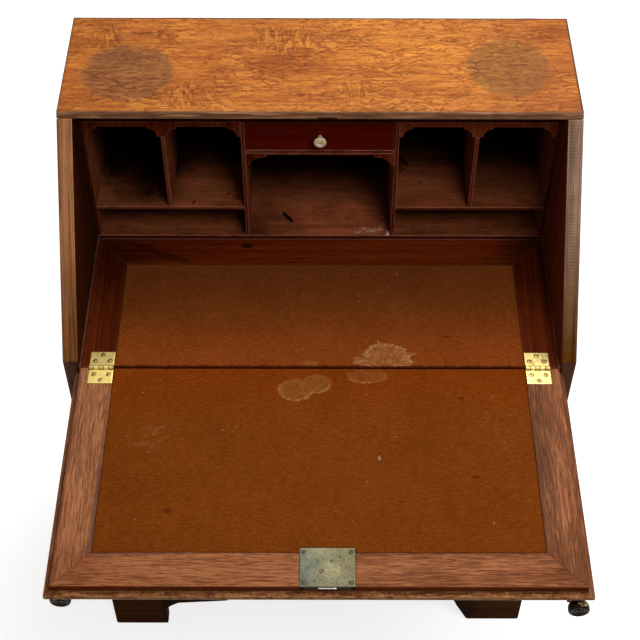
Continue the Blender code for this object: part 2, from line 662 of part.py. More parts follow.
def make_nest():
    """The pigeonhole nest at the back of the bed, thin boards with fretted valances."""
    depth = (NEST_FRONT, CASE_BACK)
    across = (-BOARD_HALF, BOARD_HALF)
    base_bottom = WRITING_HEIGHT + CLEARANCE
    box("nest_base", across, depth, (base_bottom, NEST_FLOOR), mahogany)
    rail_back = NEST_FRONT + NEST_RAIL_DEPTH
    top_of_nest = UNDER_TOP - CLEARANCE
    top_outline = [
        (NEST_FRONT, NEST_RAIL_BOTTOM),
        (rail_back, NEST_RAIL_BOTTOM),
        (rail_back, NEST_CEILING),
        (CASE_BACK, NEST_CEILING),
        (CASE_BACK, top_of_nest),
        (NEST_FRONT, top_of_nest),
    ]
    board("nest_top", top_outline, "YZ", across, mahogany)

    def upright(name, foot, notch_depth, notch_height, limits):
        ceiling = NEST_CEILING - CLEARANCE
        rail_notch = rail_back + CLEARANCE
        notch_back = NEST_FRONT + notch_depth + CLEARANCE
        under_rail = NEST_RAIL_BOTTOM - CLEARANCE
        outline = [(NEST_FRONT, foot), (CASE_BACK, foot), (CASE_BACK, ceiling), (rail_notch, ceiling)]
        outline.append((rail_notch, under_rail))
        if notch_depth:
            outline += [(notch_back, under_rail), (notch_back, notch_height), (NEST_FRONT, notch_height)]
        else:
            outline.append((NEST_FRONT, under_rail))
        board(name, outline, "YZ", limits, mahogany)

    on_base = NEST_FLOOR + CLEARANCE
    on_shelf = SHELF_TOP + CLEARANCE
    valance_depth = (NEST_FRONT, NEST_FRONT + VALANCE_THICKNESS)
    centre_outer = CENTRE_HALF + NEST_BOARD
    for hand, sign in HANDS:
        end = ordered(sign, NEST_END_INNER, BOARD_HALF)
        upright("nest_" + hand + "_end", on_base, 0.0, 0.0, end)
        centre = ordered(sign, CENTRE_HALF, centre_outer)
        upright("nest_" + hand + "_centre_divider", on_base, 0.0, 0.0, centre)
        bay = ordered(sign, centre_outer + CLEARANCE, NEST_END_INNER - CLEARANCE)
        middle = sum(bay) / 2
        divider = (middle - NEST_BOARD / 2, middle + NEST_BOARD / 2)
        under_valance = VALANCE_LOW - CLEARANCE
        upright("nest_" + hand + "_divider", on_shelf, VALANCE_THICKNESS, under_valance, divider)
        box("nest_" + hand + "_shelf", bay, depth, (SHELF_BOTTOM, SHELF_TOP), mahogany)
        spans = ((bay[0], divider[0]), (divider[1], bay[1]))
        outline = bracketed_edge(spans, VALANCE_LOW, BRACKET_DROP, BRACKET_WIDTH)
        outline += [(bay[1], VALANCE_TOP), (bay[0], VALANCE_TOP)]
        board(hand + "_valance", outline, "XZ", valance_depth, mahogany)

    shelf_half = CENTRE_HALF - CLEARANCE
    shelf_across = (-shelf_half, shelf_half)
    box("nest_drawer_shelf", shelf_across, depth, (DRAWER_SHELF_BOTTOM, DRAWER_SHELF_TOP), mahogany)
    centre_top = DRAWER_SHELF_BOTTOM - CLEARANCE
    centre_low = centre_top - CENTRE_STRIP - CENTRE_BRACKET_DROP
    outline = bracketed_edge((shelf_across,), centre_low, CENTRE_BRACKET_DROP, CENTRE_BRACKET_WIDTH)
    outline += [(shelf_half, centre_top), (-shelf_half, centre_top)]
    board("centre_valance", outline, "XZ", valance_depth, mahogany)


def open_box(name, x, y, z, wall, floor, parent):
    """A drawer box: four walls and a bottom, open above."""
    tray = box(name, x, y, z, lining, parent)
    inside_x = (x[0] + wall, x[1] - wall)
    inside_y = (y[0] + wall, y[1] - wall)
    cut(tray, box(name + "_inside", inside_x, inside_y, (z[0] + floor, z[1] + CUT_MARGIN)))


def make_small_drawer():
    """The drawer over the nest's middle bay, with a pale turned knob."""
    half = CENTRE_HALF - RUNNING_GAP
    height = (SMALL_DRAWER_BOTTOM, SMALL_DRAWER_TOP)
    face = NEST_FRONT + CLEARANCE
    slide = new_pivot("small_drawer_axis", (0.0, face, SMALL_DRAWER_BOTTOM), bureau)
    front_back = face + SMALL_FRONT_THICKNESS
    box("small_drawer_front", (-half, half), (face, front_back), height, mahogany, slide)
    box_height = (SMALL_DRAWER_BOTTOM, SMALL_DRAWER_TOP - DRAWER_TOP_GAP)
    box_depth = (front_back + CLEARANCE, CASE_BACK - LOPER_BACK_GAP)
    tray_half = half - RUNNING_GAP
    tray = ("small_drawer_box", (-tray_half, tray_half), box_depth, box_height)
    open_box(*tray, SMALL_SIDE_THICKNESS, SMALL_BOTTOM_THICKNESS, slide)
    knob_place = (0.0, face - CLEARANCE, sum(height) / 2)
    turned_knob("small_drawer_knob", SMALL_KNOB_RADIUS, SMALL_KNOB_LENGTH, knob_place, bone, slide)


def make_long_drawers():
    """Three long drawers, growing deeper towards the floor, each with two turned knobs."""
    openings = (
        ("upper", MIDDLE_DIVIDER_TOP, UPPER_DIVIDER_BOTTOM),
        ("middle", LOWER_DIVIDER_TOP, MIDDLE_DIVIDER_BOTTOM),
        ("lower", BOTTOM_TOP, LOWER_DIVIDER_BOTTOM),
    )
    half = INNER_HALF - RUNNING_GAP
    for name, low, high in openings:
        bottom = low + CLEARANCE
        slide = new_pivot(name + "_drawer_axis", (0.0, 0.0, bottom), bureau)
        height = (bottom, high - RUNNING_GAP)
        front_depth = (0.0, DRAWER_FRONT_THICKNESS)
        box(name + "_drawer_front", (-half, half), front_depth, height, oak, slide)
        tray_depth = (DRAWER_FRONT_THICKNESS + CLEARANCE, CASE_BACK - DRAWER_BACK_GAP)
        tray_height = (bottom, high - DRAWER_TOP_GAP)
        tray_half = half - RUNNING_GAP
        tray = (name + "_drawer_box", (-tray_half, tray_half), tray_depth, tray_height)
        open_box(*tray, DRAWER_SIDE_THICKNESS, DRAWER_BOTTOM_THICKNESS, slide)
        for hand, sign in HANDS:
            place = (sign * DRAWER_KNOB_SPACING / 2, -CLEARANCE, sum(height) / 2)
            knob_name = name + "_drawer_" + hand + "_knob"
            turned_knob(knob_name, DRAWER_KNOB_RADIUS, DRAWER_KNOB_LENGTH, place, bronze, slide)


for old in list(bpy.data.objects):
    bpy.data.objects.remove(old)

parts = new_collection("writing_bureau")
cutters = new_collection("cutters")

oak = new_material("oak", (0.42, 0.18, 0.06), 0.45)
dark_oak = new_material("dark_oak", (0.16, 0.065, 0.025), 0.45)
mahogany = new_material("mahogany", (0.12, 0.04, 0.018), 0.45)
fall_wood = new_material("fall_wood", (0.24, 0.09, 0.035), 0.4)
lining = new_material("lining", (0.38, 0.22, 0.10), 0.7)
leather = new_material("leather", (0.27, 0.10, 0.035), 0.6)
brass = new_material("brass", (0.75, 0.55, 0.22), 0.3, 1.0)
lock_brass = new_material("lock_brass", (0.45, 0.36, 0.20), 0.45, 1.0)
steel = new_material("steel", (0.55, 0.54, 0.52), 0.35, 1.0)
bronze = new_material("bronze", (0.09, 0.06, 0.035), 0.4, 0.8)
bone = new_material("bone", (0.80, 0.68, 0.45), 0.4)

bureau = new_pivot("writing_bureau_origin", (0.0, (FRONT_MOST - DEPTH) / 2, 0.0))
fall_pivot = new_pivot("fall_axis", (0.0, 0.0, WRITING_HEIGHT), bureau)
bolt_pivot = new_pivot("bolt_axis", (LOCK_OFFSET, -FALL_FACE, WRITING_HEIGHT), bureau)

top_board = make_carcase()
make_base()
bed_panel = make_bed()
fall_panel, fall_frame, fall_skin = make_fall()
make_hinges(bed_panel, fall_frame)
make_lock(top_board, fall_panel, fall_frame, fall_skin)
make_lopers()
make_nest()
make_small_drawer()
make_long_drawers()
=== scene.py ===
from collections import namedtuple
import functools
import json
import math

import bmesh
import bpy
import numpy as np
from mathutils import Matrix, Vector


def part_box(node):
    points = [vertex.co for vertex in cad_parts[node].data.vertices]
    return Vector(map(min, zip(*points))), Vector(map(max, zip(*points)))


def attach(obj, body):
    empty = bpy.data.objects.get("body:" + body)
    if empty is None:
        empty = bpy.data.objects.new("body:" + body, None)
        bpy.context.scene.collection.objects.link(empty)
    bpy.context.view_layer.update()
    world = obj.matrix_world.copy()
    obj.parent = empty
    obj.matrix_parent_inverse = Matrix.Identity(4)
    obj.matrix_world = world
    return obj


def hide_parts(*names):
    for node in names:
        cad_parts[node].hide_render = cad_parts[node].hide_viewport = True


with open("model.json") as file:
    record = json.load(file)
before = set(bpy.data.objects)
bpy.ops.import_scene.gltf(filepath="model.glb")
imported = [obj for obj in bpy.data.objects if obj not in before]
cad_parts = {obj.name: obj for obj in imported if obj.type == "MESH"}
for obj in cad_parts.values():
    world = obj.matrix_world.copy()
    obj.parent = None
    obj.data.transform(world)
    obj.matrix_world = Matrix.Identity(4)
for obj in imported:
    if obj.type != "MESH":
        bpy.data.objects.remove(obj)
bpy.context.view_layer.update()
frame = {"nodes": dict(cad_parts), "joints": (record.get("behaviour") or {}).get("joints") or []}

joints = {joint["name"]: joint for joint in frame["joints"]}
hingeY, writingZ = joints["fall_hinge"]["pos_m"][1:]  # every depth below is counted from this line
slope = math.radians(48.4)
upSlope = np.array([math.cos(slope), math.sin(slope)])
intoCase = np.array([math.sin(slope), -math.cos(slope)])
toneDraw = np.random.default_rng(11)
dentDraw = np.random.default_rng(23)
fit = 0.0003  # play where two pieces meet
print("frame loaded,", len(frame["nodes"]), "nodes")


class Wire:  # one output socket of a material, with plain arithmetic on its value
    def __init__(self, tree, socket=None):
        self.tree = tree
        self.socket = socket

    def node(self, kind, settings=None, inputs=None, out=0):
        made = self.tree.nodes.new(kind)
        for key, value in (settings or {}).items():
            if key == "stops":
                ramp = made.color_ramp.elements
                while len(ramp) < len(value):
                    ramp.new(1.0)
                for stop, (place, colour) in zip(ramp, value):
                    stop.position = place
                    stop.color = (*colour, 1.0)
            else:
                setattr(made, key, value)
        for key, value in (inputs or {}).items():
            if isinstance(value, Wire):
                self.tree.links.new(value.socket, made.inputs[key])
            else:
                made.inputs[key].default_value = value
        return Wire(self.tree, made.outputs[out])

    def other(self, out):  # another output of the same node
        return Wire(self.tree, self.socket.node.outputs[out])

    def split(self, place):  # x, y and z of a place
        parts = self.node("ShaderNodeSeparateXYZ", None, {0: place})
        return [parts.other(index) for index in range(3)]

    def join(self, x, y, z=0.0):
        return self.node("ShaderNodeCombineXYZ", None, {0: x, 1: y, 2: z})

    def attribute(self, name):
        return self.node("ShaderNodeAttribute", {"attribute_name": name}, None, "Fac")

    def sum(self, operation, first, second=0.0):
        return self.node("ShaderNodeMath", {"operation": operation}, {0: first, 1: second})

    def __add__(self, value):
        return self.sum("ADD", self, value)

    def __radd__(self, value):
        return self.sum("ADD", value, self)

    def __sub__(self, value):
        return self.sum("SUBTRACT", self, value)

    def __rsub__(self, value):
        return self.sum("SUBTRACT", value, self)

    def __mul__(self, value):
        return self.sum("MULTIPLY", self, value)

    def __rmul__(self, value):
        return self.sum("MULTIPLY", value, self)

    def __truediv__(self, value):
        return self.sum("DIVIDE", self, value)

    def __pow__(self, value):
        return self.sum("POWER", self, value)

    def __abs__(self):
        return self.sum("ABSOLUTE", self)

    def most(self, value):
        return self.sum("MAXIMUM", self, value)

    def least(self, value):
        return self.sum("MINIMUM", self, value)

    def rise(self, low, high):  # 0 below low, 1 above high, a smooth step between
        limits = {"Value": self, "From Min": low, "From Max": high}
        return self.node("ShaderNodeMapRange", {"interpolation_type": "SMOOTHSTEP"}, limits)

    def fall(self, low, high):
        return 1.0 - self.rise(low, high)

    def noise(self, place, scale, detail=2.0, shift=0.0, rough=0.55, twist=0.0):
        inputs = {"Vector": place, "W": shift, "Scale": scale, "Detail": detail}
        inputs.update({"Roughness": rough, "Distortion": twist})
        return self.node("ShaderNodeTexNoise", {"noise_dimensions": "4D"}, inputs)

    def blend(self, share, first, second, mode="MIX"):  # colours, by a share of the second
        inputs = {0: share, 6: colour4(first), 7: colour4(second)}
        return self.node("ShaderNodeMix", {"data_type": "RGBA", "blend_type": mode}, inputs, 2)


def colour4(value):
    return value if isinstance(value, Wire) else (*value, 1.0)


def startFinish(name, look):
    finish = bpy.data.materials.new(name)
    finish.use_nodes = True
    shader = finish.node_tree.nodes["Principled BSDF"]
    shader.inputs["Specular IOR Level"].default_value = look.get("specular", 0.2)
    shader.inputs["Metallic"].default_value = look.get("metal", 0.0)
    wire = Wire(finish.node_tree)
    place = wire.node("ShaderNodeTexCoord", out="Object")
    return finish, shader, wire, place, wire.split(place)


def endFinish(wire, shader, colour, rough, height, depth, strength):
    bump = wire.node("ShaderNodeBump", None, {"Strength": strength, "Distance": depth, "Height": height})
    for name, value in (("Base Color", colour), ("Roughness", rough), ("Normal", bump)):
        wire.tree.links.new(value.socket, shader.inputs[name])


# sizes of the oak's figure along and across the grain, and the steps of noise at which each part of it shows
oakFigure = {
    "crinkles": [{"scale": 130.0, "draw": 3.0, "width": 0.006}, {"scale": 38.0, "draw": 6.0, "width": 0.014}],
    "ribbon": (42.0, 150.0),
    "flame": (150.0, 40.0),
    "fine": (50.0, 250.0),
    "spot": (0.7, 1.1),
    "patch": (0.54, 0.62),
    "zone": (0.44, 0.60),
    "pale": (0.46, 0.60),
    "faint": (0.36, 0.62),
    "outline": (0.010, 0.050),
    "fineLine": (0.010, 0.060),
}


# wood: fine streaks and broad bands drawn out along the grain, short dark pores, and another colour where the
# edges are worn. Quarter-cut oak also has pale ribbons along the grain and flames across it, outlined by thin
# crinkled lines
def woodFinish(name, base, paint=None, **changes):
    look = dict(base, **changes)
    finish, shader, wire, place, axes = startFinish(name, look)
    order = {"x": (0, 1, 2), "y": (1, 0, 2), "z": (2, 0, 1), "slope": (2, 0, 1)}[look["grain"]]
    along, across, through = (axes[index] for index in order)
    if look["grain"] == "slope":
        along = axes[1] * upSlope[0] + axes[2] * upSlope[1]
        through = axes[1] * intoCase[0] + axes[2] * intoCase[1]
    tone, worn = wire.attribute("tone"), wire.attribute("wear")
    bend = wire.noise(place, 3.5, 1.0, tone * 5.0) - 0.5
    across = across + bend * look.get("bend", 0.012)

    def drawn(side, alongScale, acrossScale, detail, shift, rough=0.6):
        stretched = wire.join(along * alongScale, side * acrossScale, through * acrossScale)
        return wire.noise(stretched, 1.0, detail, tone * 9.0 + shift, rough)

    streak = drawn(across, *look.get("streak", (3.0, 170.0)), 3.0, 0.0)
    broad = drawn(across, *look.get("broad", (1.6, 15.0)), 2.0, 3.0)
    pore = drawn(across, *look.get("pore", (42.0, 900.0)), 1.0, 7.0, 0.4)
    pore = pore.rise(*look.get("poreStep", (0.54, 0.66)))
    share = look.get("streakShare", 0.55)
    value = streak * share + broad * (1.0 - share) + (tone - 0.5) * look.get("toneShare", 0.12)
    spread = look.get("spread", 0.16)
    stops = [(0.5 - spread, look["dark"]), (0.5, look["mid"]), (0.5 + spread, look["light"])]
    colour = wire.node("ShaderNodeValToRGB", {"stops": stops}, {0: value})
    if "fleck" in look:
        wavy = across
        for crinkle in oakFigure["crinkles"]:
            shake = wire.noise(place, crinkle["scale"], 1.0, tone + crinkle["draw"]) - 0.5
            wavy = wavy + shake * crinkle["width"]
        ribbon = drawn(wavy, *oakFigure["ribbon"], 1.0, 4.0)
        flame = drawn(wavy, *oakFigure["flame"], 1.0, 2.0)
        if "flames" in look:
            ragged = (wire.noise(place, 40.0, 3.0, 5.0) - 0.5) * 1.2
            spots = [roundSpot(axes, *spot, ragged).fall(*oakFigure["spot"]) for spot in look["flames"]]
            patch = functools.reduce(Wire.most, spots)
        else:
            patch = wire.noise(place, 9.0, 1.0, tone + 2.0).rise(*oakFigure["patch"])
        figure = ribbon + (flame - ribbon) * patch
        zone = patch.most(wire.noise(place, 13.0, 2.0, tone + 7.0).rise(*oakFigure["zone"]))
        pale = figure.rise(*oakFigure["pale"]) * (0.3 + zone * 0.7)
        colour = wire.blend(pale * look["fleck"], colour, look["fleckColour"])
        if paint:
            colour = paint(wire, place, axes, colour)
        outlines = abs(figure - 0.5).fall(*oakFigure["outline"]) * (0.35 + zone * 0.65)
        faint = wire.noise(place, 21.0, 2.0, tone + 11.0).rise(*oakFigure["faint"])
        fine = abs(drawn(wavy, *oakFigure["fine"], 1.0, 8.0) - 0.5).fall(*oakFigure["fineLine"])
        lines = outlines.most(fine * (0.4 + faint * 0.6)) * look["lines"]
        colour = wire.blend(lines, colour, look["lineColour"], "MULTIPLY")
    dark = tuple(0.3 * part for part in look["dark"])
    colour = wire.blend(pore * look["pores"], colour, dark)
    rub = worn * wire.noise(place, 60.0, 3.0, tone * 3.0).rise(0.25, 0.55)
    colour = wire.blend(rub * look["worn"], colour, look["wornColour"])
    if paint and "fleck" not in look:
        colour = paint(wire, place, axes, colour)
    rough = look["rough"] + (0.5 - streak) * 0.2
    endFinish(wire, shader, colour, rough, streak * 0.5 - pore, 0.0002, 0.35)
    return finish


# 0 in the middle of an uneven ellipse and 1 at its edge, counted from the hinge line
def roundSpot(axes, centre, half, edge):
    acrossPart = (axes[0] - centre[0]) / half[0]
    alongPart = (axes[1] - (centre[1] + hingeY)) / half[1]
    return (acrossPart * acrossPart + alongPart * alongPart) ** 0.5 + edge


# a round patch that multiplies the colour, used for stains and for painted light and shade, and a painted
# stroke, with their usual settings. Level keeps a mark to one board
Stain = namedtuple("Stain", "centre half colour share ragged fade veil level",
                   defaults=(0.16, (0.84, 1.06), None, None))
Brush = namedtuple("Brush", "start end width colour share fine ragged taper core broken level",
                   defaults=(0.8, 2.5, 2.0, 0.5, 0.5, None, None))


# 1 on a line between two points, counted from the hinge line, that tapers to its ends and wavers by the edge
def stroke(axes, mark, edge):
    run = np.subtract(mark.end, mark.start)
    length = np.hypot(*run)
    acrossPart = axes[0] - mark.start[0]
    alongPart = axes[1] - (mark.start[1] + hingeY)
    on = (acrossPart * (run[0] / length) + alongPart * (run[1] / length)) / length
    off = abs(alongPart * (run[0] / length) - acrossPart * (run[1] / length) + edge * mark.width)
    taper = (on * (1.0 - on) * 4.0).most(0.001) ** mark.taper
    return (off / taper).fall(mark.width * mark.core, mark.width)


def onLevel(axes, mark):  # 1 within a few millimetres of the mark's own height
    return abs(axes[2] - mark.level).fall(0.003, 0.004) if mark.level else 1.0


# marks on a flat board: multiplied patches first, stains and painted light and shade, then painted strokes
def marked(stains=(), strokes=()):
    def paint(wire, place, axes, colour):
        ragged = wire.noise(place, 26.0, 4.0) - 0.5
        fine = wire.noise(place, 300.0, 2.0, 4.0) - 0.5
        mottle = wire.noise(place, 24.0, 3.0, 2.0) * 0.9 + wire.noise(place, 180.0, 2.0, 5.0) * 0.7
        for mark in stains:
            spot = roundSpot(axes, mark.centre, mark.half, ragged * mark.ragged)
            mask = (spot.fall(*mark.fade) * (0.2 + mottle)).least(1.0) * mark.share * onLevel(axes, mark)
            if mark.veil:
                colour = wire.blend(mask * 0.3, colour, mark.veil)
            colour = wire.blend(mask, colour, mark.colour, "MULTIPLY")
        for mark in strokes:
            mask = stroke(axes, mark, fine * mark.fine + ragged * mark.ragged)
            if mark.broken:
                mask = mask * wire.noise(place, mark.broken, 2.0, 7.0, 0.7).rise(0.42, 0.56)
            colour = wire.blend(mask * mark.share * onLevel(axes, mark), colour, mark.colour)
        return colour
    return paint


# painted shade that deepens towards the back of the nest, sooner on the shelves than below, with a little patchy
# dirt, under its marks
def shadedAndGrimy(stains=(), strokes=()):
    shadeAndGrime = {"clean": (0.335, 0.30), "dirty": 0.44, "split": 0.80, "colour": (0.10, 0.09, 0.08)}
    markPaint = marked(stains, strokes)

    def paint(wire, place, axes, colour):
        patchy = wire.noise(place, 22.0, 4.0, 3.0, 0.65) - 0.5
        upper = axes[2].rise(shadeAndGrime["split"] - 0.01, shadeAndGrime["split"] + 0.01)
        depth = axes[1] + patchy * 0.08 + upper * (shadeAndGrime["clean"][0] - shadeAndGrime["clean"][1])
        mask = depth.rise(shadeAndGrime["clean"][0] + hingeY, shadeAndGrime["dirty"] + hingeY)
        mask = mask.most((patchy + wire.noise(place, 90.0, 3.0, 8.0) * 0.3).rise(0.08, 0.32) * 0.3)
        return markPaint(wire, place, axes, wire.blend(mask, colour, shadeAndGrime["colour"], "MULTIPLY"))
    return paint


# the sawn edge of a side: its colour runs from the foot of the slope to the nose, lighter and greyer upwards as
# painted light and sheen, crossed by fine saw marks
def sawn(edge):
    def paint(wire, place, axes, colour):
        up = (axes[2] + (wire.noise(place, 9.0, 2.0) - 0.5) * 0.12).rise(*sawMarks["span"])
        colour = wire.blend(1.0, colour, wire.blend(up, edge["low"], edge["high"]), "MULTIPLY")
        waver = (wire.noise(place, 60.0, 2.0, 3.0) - 0.5) * 6.0
        tooth = wire.sum("SINE", axes[2] * (2 * math.pi / sawMarks["tooth"]) + waver).rise(-0.6, 0.9)
        broken = wire.noise(place, 30.0, 2.0, 6.0).rise(0.34, 0.66)
        return wire.blend(tooth * broken * edge["share"], colour, sawMarks["colour"], "MULTIPLY")
    return paint


# the lip is rubbed to gold in specks along the front, with painted shade against the frame that stands on it,
# and pale chips along its front edge that are partly wear and partly a painted highlight
def rubbedFront(front):
    def paint(wire, place, axes, colour):
        between = abs(axes[0]).fall(front["half"] - 0.001, front["half"] + 0.001)
        near = axes[1].fall(front["frame"] - 0.0018, front["frame"] - 0.0008) * between
        drawnOut = wire.join(axes[0] * 40.0, axes[1] * 420.0, axes[2] * 420.0)
        blotch = wire.noise(place, 230.0, 4.0, 2.0, 0.7) * 0.5 + wire.noise(drawnOut, 1.0, 2.0, 2.0) * 0.5
        rubbed = wire.blend(blotch.rise(0.42, 0.56), front["brown"], front["gold"])
        colour = wire.blend(near, colour, wire.blend(blotch.rise(0.54, 0.62) * 0.8, rubbed, front["pale"]))
        dirt = axes[1].rise(front["frame"] - 0.0020, front["frame"] - 0.0006) * between
        colour = wire.blend(dirt * 0.9, colour, front["dirt"])
        rim = axes[1].fall(front["y"] + 0.0004, front["y"] + 0.0022)
        chips = wire.noise(place, 90.0, 3.0, 5.0).rise(0.36, 0.56)
        return wire.blend(rim * chips * 0.75, colour, front["pale"])
    return paint


# grey dust in the corner where a surface meets the sides of the case
def dusty(half, stains, strokes=()):
    markPaint = marked(stains, strokes)

    def paint(wire, place, axes, colour):
        corner = abs(axes[0]).rise(half - 0.0030, half - 0.0004)
        corner = corner * wire.noise(place, 30.0, 3.0, 1.0).rise(0.36, 0.6)
        return wire.blend(corner * 0.7, markPaint(wire, place, axes, colour), (0.20, 0.105, 0.075))
    return paint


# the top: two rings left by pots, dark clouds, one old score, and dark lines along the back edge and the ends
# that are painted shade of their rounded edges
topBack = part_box("top_board")[1][1] - hingeY
topStains = [
    Stain((0.12, 0.345), (0.23, 0.12), (1.16, 1.2, 1.05), 0.9, 0.8, (0.2, 1.3)),
    Stain((-0.281, 0.3255), (0.069, 0.0645), (0.58, 0.67, 1.05), 0.95, 0.2, (0.88, 1.03),
          veil=(0.62, 0.205, 0.045)),
    Stain((-0.29, 0.349), (0.05, 0.032), (0.74, 0.72, 0.84), 0.9, 0.8, (0.3, 1.2)),
    Stain((0.276, 0.339), (0.063, 0.067), (0.62, 0.72, 0.88), 0.95, 0.2, (0.88, 1.03),
          veil=(0.68, 0.235, 0.05)),
    Stain((-0.04, 0.345), (0.085, 0.034), (0.66, 0.52, 0.5), 0.75, 1.6, (0.3, 1.2)),
    Stain((0.345, 0.415), (0.04, 0.03), (0.66, 0.52, 0.5), 0.7, 1.3, (0.3, 1.2)),
    Stain((-0.17, 0.35), (0.06, 0.045), (0.84, 0.72, 0.64), 0.3, 1.6, (0.3, 1.2)),
    Stain((-0.35, 0.39), (0.035, 0.06), (0.88, 0.8, 0.76), 0.2, 1.4, (0.3, 1.2)),
]
topStrokes = [
    Brush((-0.34, 0.387), (-0.3, 0.4), 0.0013, (0.16, 0.05, 0.016), 0.6),
    Brush((-0.308, 0.396), (-0.28, 0.415), 0.0013, (0.15, 0.05, 0.016), 0.7),
    Brush((-0.286, 0.413), (-0.24, 0.419), 0.0014, (0.13, 0.04, 0.013), 0.8),
    Brush((-0.378, topBack - 0.001), (0.378, topBack - 0.001), 0.0032, (0.1, 0.038, 0.017), 0.9,
          fine=0.4, ragged=0.8, taper=0.02),
    Brush((0.3745, 0.225), (0.3745, 0.45), 0.003, (0.13, 0.05, 0.024), 0.9, fine=0.4, ragged=0.8,
          taper=0.02),
    Brush((-0.3747, 0.225), (-0.3747, 0.45), 0.0016, (0.13, 0.05, 0.024), 0.7, fine=0.4, ragged=0.8,
          taper=0.02),
]
# the bed's back rail: a knot, a dark streak by the left corner, dust and shade at the foot of the nest
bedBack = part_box("nest_base")[0][1] - hingeY
railStains = [
    Stain((-0.115, 0.244), (0.011, 0.0055), (0.18, 0.12, 0.1), 0.95, 0.5, (0.5, 1.1)),
    Stain((-0.35, 0.22), (0.13, 0.14), (0.34, 0.38, 0.45), 0.9, fade=(0.2, 1.1)),
    Stain((0.35, 0.22), (0.11, 0.14), (0.34, 0.38, 0.45), 0.9, fade=(0.2, 1.1)),
]
railStrokes = [
    Brush((-0.36, bedBack - 0.004), (0.36, bedBack - 0.004), 0.0013, (0.3, 0.12, 0.085), 0.5, fine=0.5,
          ragged=1.0, taper=0.02),
    Brush((-0.36, bedBack - 0.0008), (0.36, bedBack - 0.0008), 0.0022, (0.016, 0.003, 0.002), 0.9,
          fine=0.3, ragged=0.5, taper=0.02),
    Brush((-0.305, 0.252), (-0.19, 0.2), 0.012, (0.012, 0.003, 0.001), 0.5, fine=0.3, ragged=1.2,
          core=0.1),
]
# floors of the nest: a gouge and a dried crust in the middle bay, ink marks in a pigeonhole. Painted shade
# darkens the floors of the two outer pigeonholes and the left of the middle bay; painted light brightens the
# middle bay and the shelf fronts beside the dividers
shelfTop, baseTop = 0.840, 0.7763
nestShadeLightAndStains = [
    Stain((-0.275, 0.37), (0.095, 0.105), (0.1, 0.1, 0.11), 1.0, 0.7, (0.5, 1.1), level=shelfTop),
    Stain((0.28, 0.36), (0.08, 0.095), (0.45, 0.45, 0.48), 0.9, 0.7, (0.4, 1.1), level=shelfTop),
    Stain((0.03, 0.285), (0.11, 0.06), (2.1, 2.1, 2.1), 1.0, 0.8, (0.2, 1.3), level=baseTop),
    Stain((-0.105, 0.275), (0.03, 0.04), (0.45, 0.45, 0.45), 0.9, 0.8, (0.2, 1.2), level=baseTop),
    Stain((-0.2, 0.262), (0.045, 0.016), (1.8, 1.8, 1.8), 0.9, 0.5, (0.2, 1.2), level=shelfTop),
    Stain((0.185, 0.262), (0.045, 0.018), (1.6, 1.5, 1.5), 0.9, 0.5, (0.2, 1.2), level=shelfTop),
    Stain((-0.13, 0.285), (0.007, 0.008), (0.55, 0.5, 0.5), 0.6, 0.5, level=shelfTop),
]
nestStrokes = [
    Brush((-0.0612, 0.3155), (-0.0425, 0.292), 0.0046, (0.006, 0.003, 0.002), 0.97, fine=0.9, ragged=1.6,
          core=0.6, level=baseTop),
    Brush((-0.0625, 0.315), (-0.0605, 0.312), 0.0012, (0.42, 0.36, 0.3), 0.7, level=baseTop),
    Brush((0.0545, 0.266), (0.0695, 0.279), 0.0046, (0.78, 0.42, 0.3), broken=260.0, level=baseTop),
    Brush((0.0665, 0.279), (0.0825, 0.27), 0.005, (0.74, 0.4, 0.29), broken=260.0, level=baseTop),
    Brush((0.0785, 0.272), (0.1015, 0.275), 0.0056, (0.78, 0.42, 0.3), broken=260.0, level=baseTop),
    Brush((0.06, 0.268), (0.098, 0.267), 0.0048, (0.42, 0.19, 0.12), 0.35, level=baseTop),
    Brush((0.0935, 0.281), (0.104, 0.288), 0.006, (0.36, 0.19, 0.13), 0.45, level=baseTop),
    Brush((0.1075, 0.258), (0.1085, 0.274), 0.003, (0.95, 0.72, 0.54), 0.9, level=baseTop),
    Brush((0.1265, 0.374), (0.1415, 0.356), 0.0044, (0.006, 0.002, 0.001), 0.85, ragged=2.2,
          level=shelfTop),
    Brush((0.1255, 0.3425), (0.1345, 0.349), 0.0032, (0.008, 0.003, 0.001), 0.8, ragged=1.6,
          level=shelfTop),
    Brush((0.1555, 0.316), (0.1625, 0.321), 0.0026, (0.016, 0.005, 0.002), 0.7, level=shelfTop),
    Brush((-0.2, 0.268), (-0.194, 0.278), 0.0024, (0.012, 0.004, 0.002), 0.8, level=shelfTop),
    Brush((-0.146, 0.291), (-0.14, 0.293), 0.002, (0.012, 0.004, 0.002), 0.8, level=shelfTop),
]
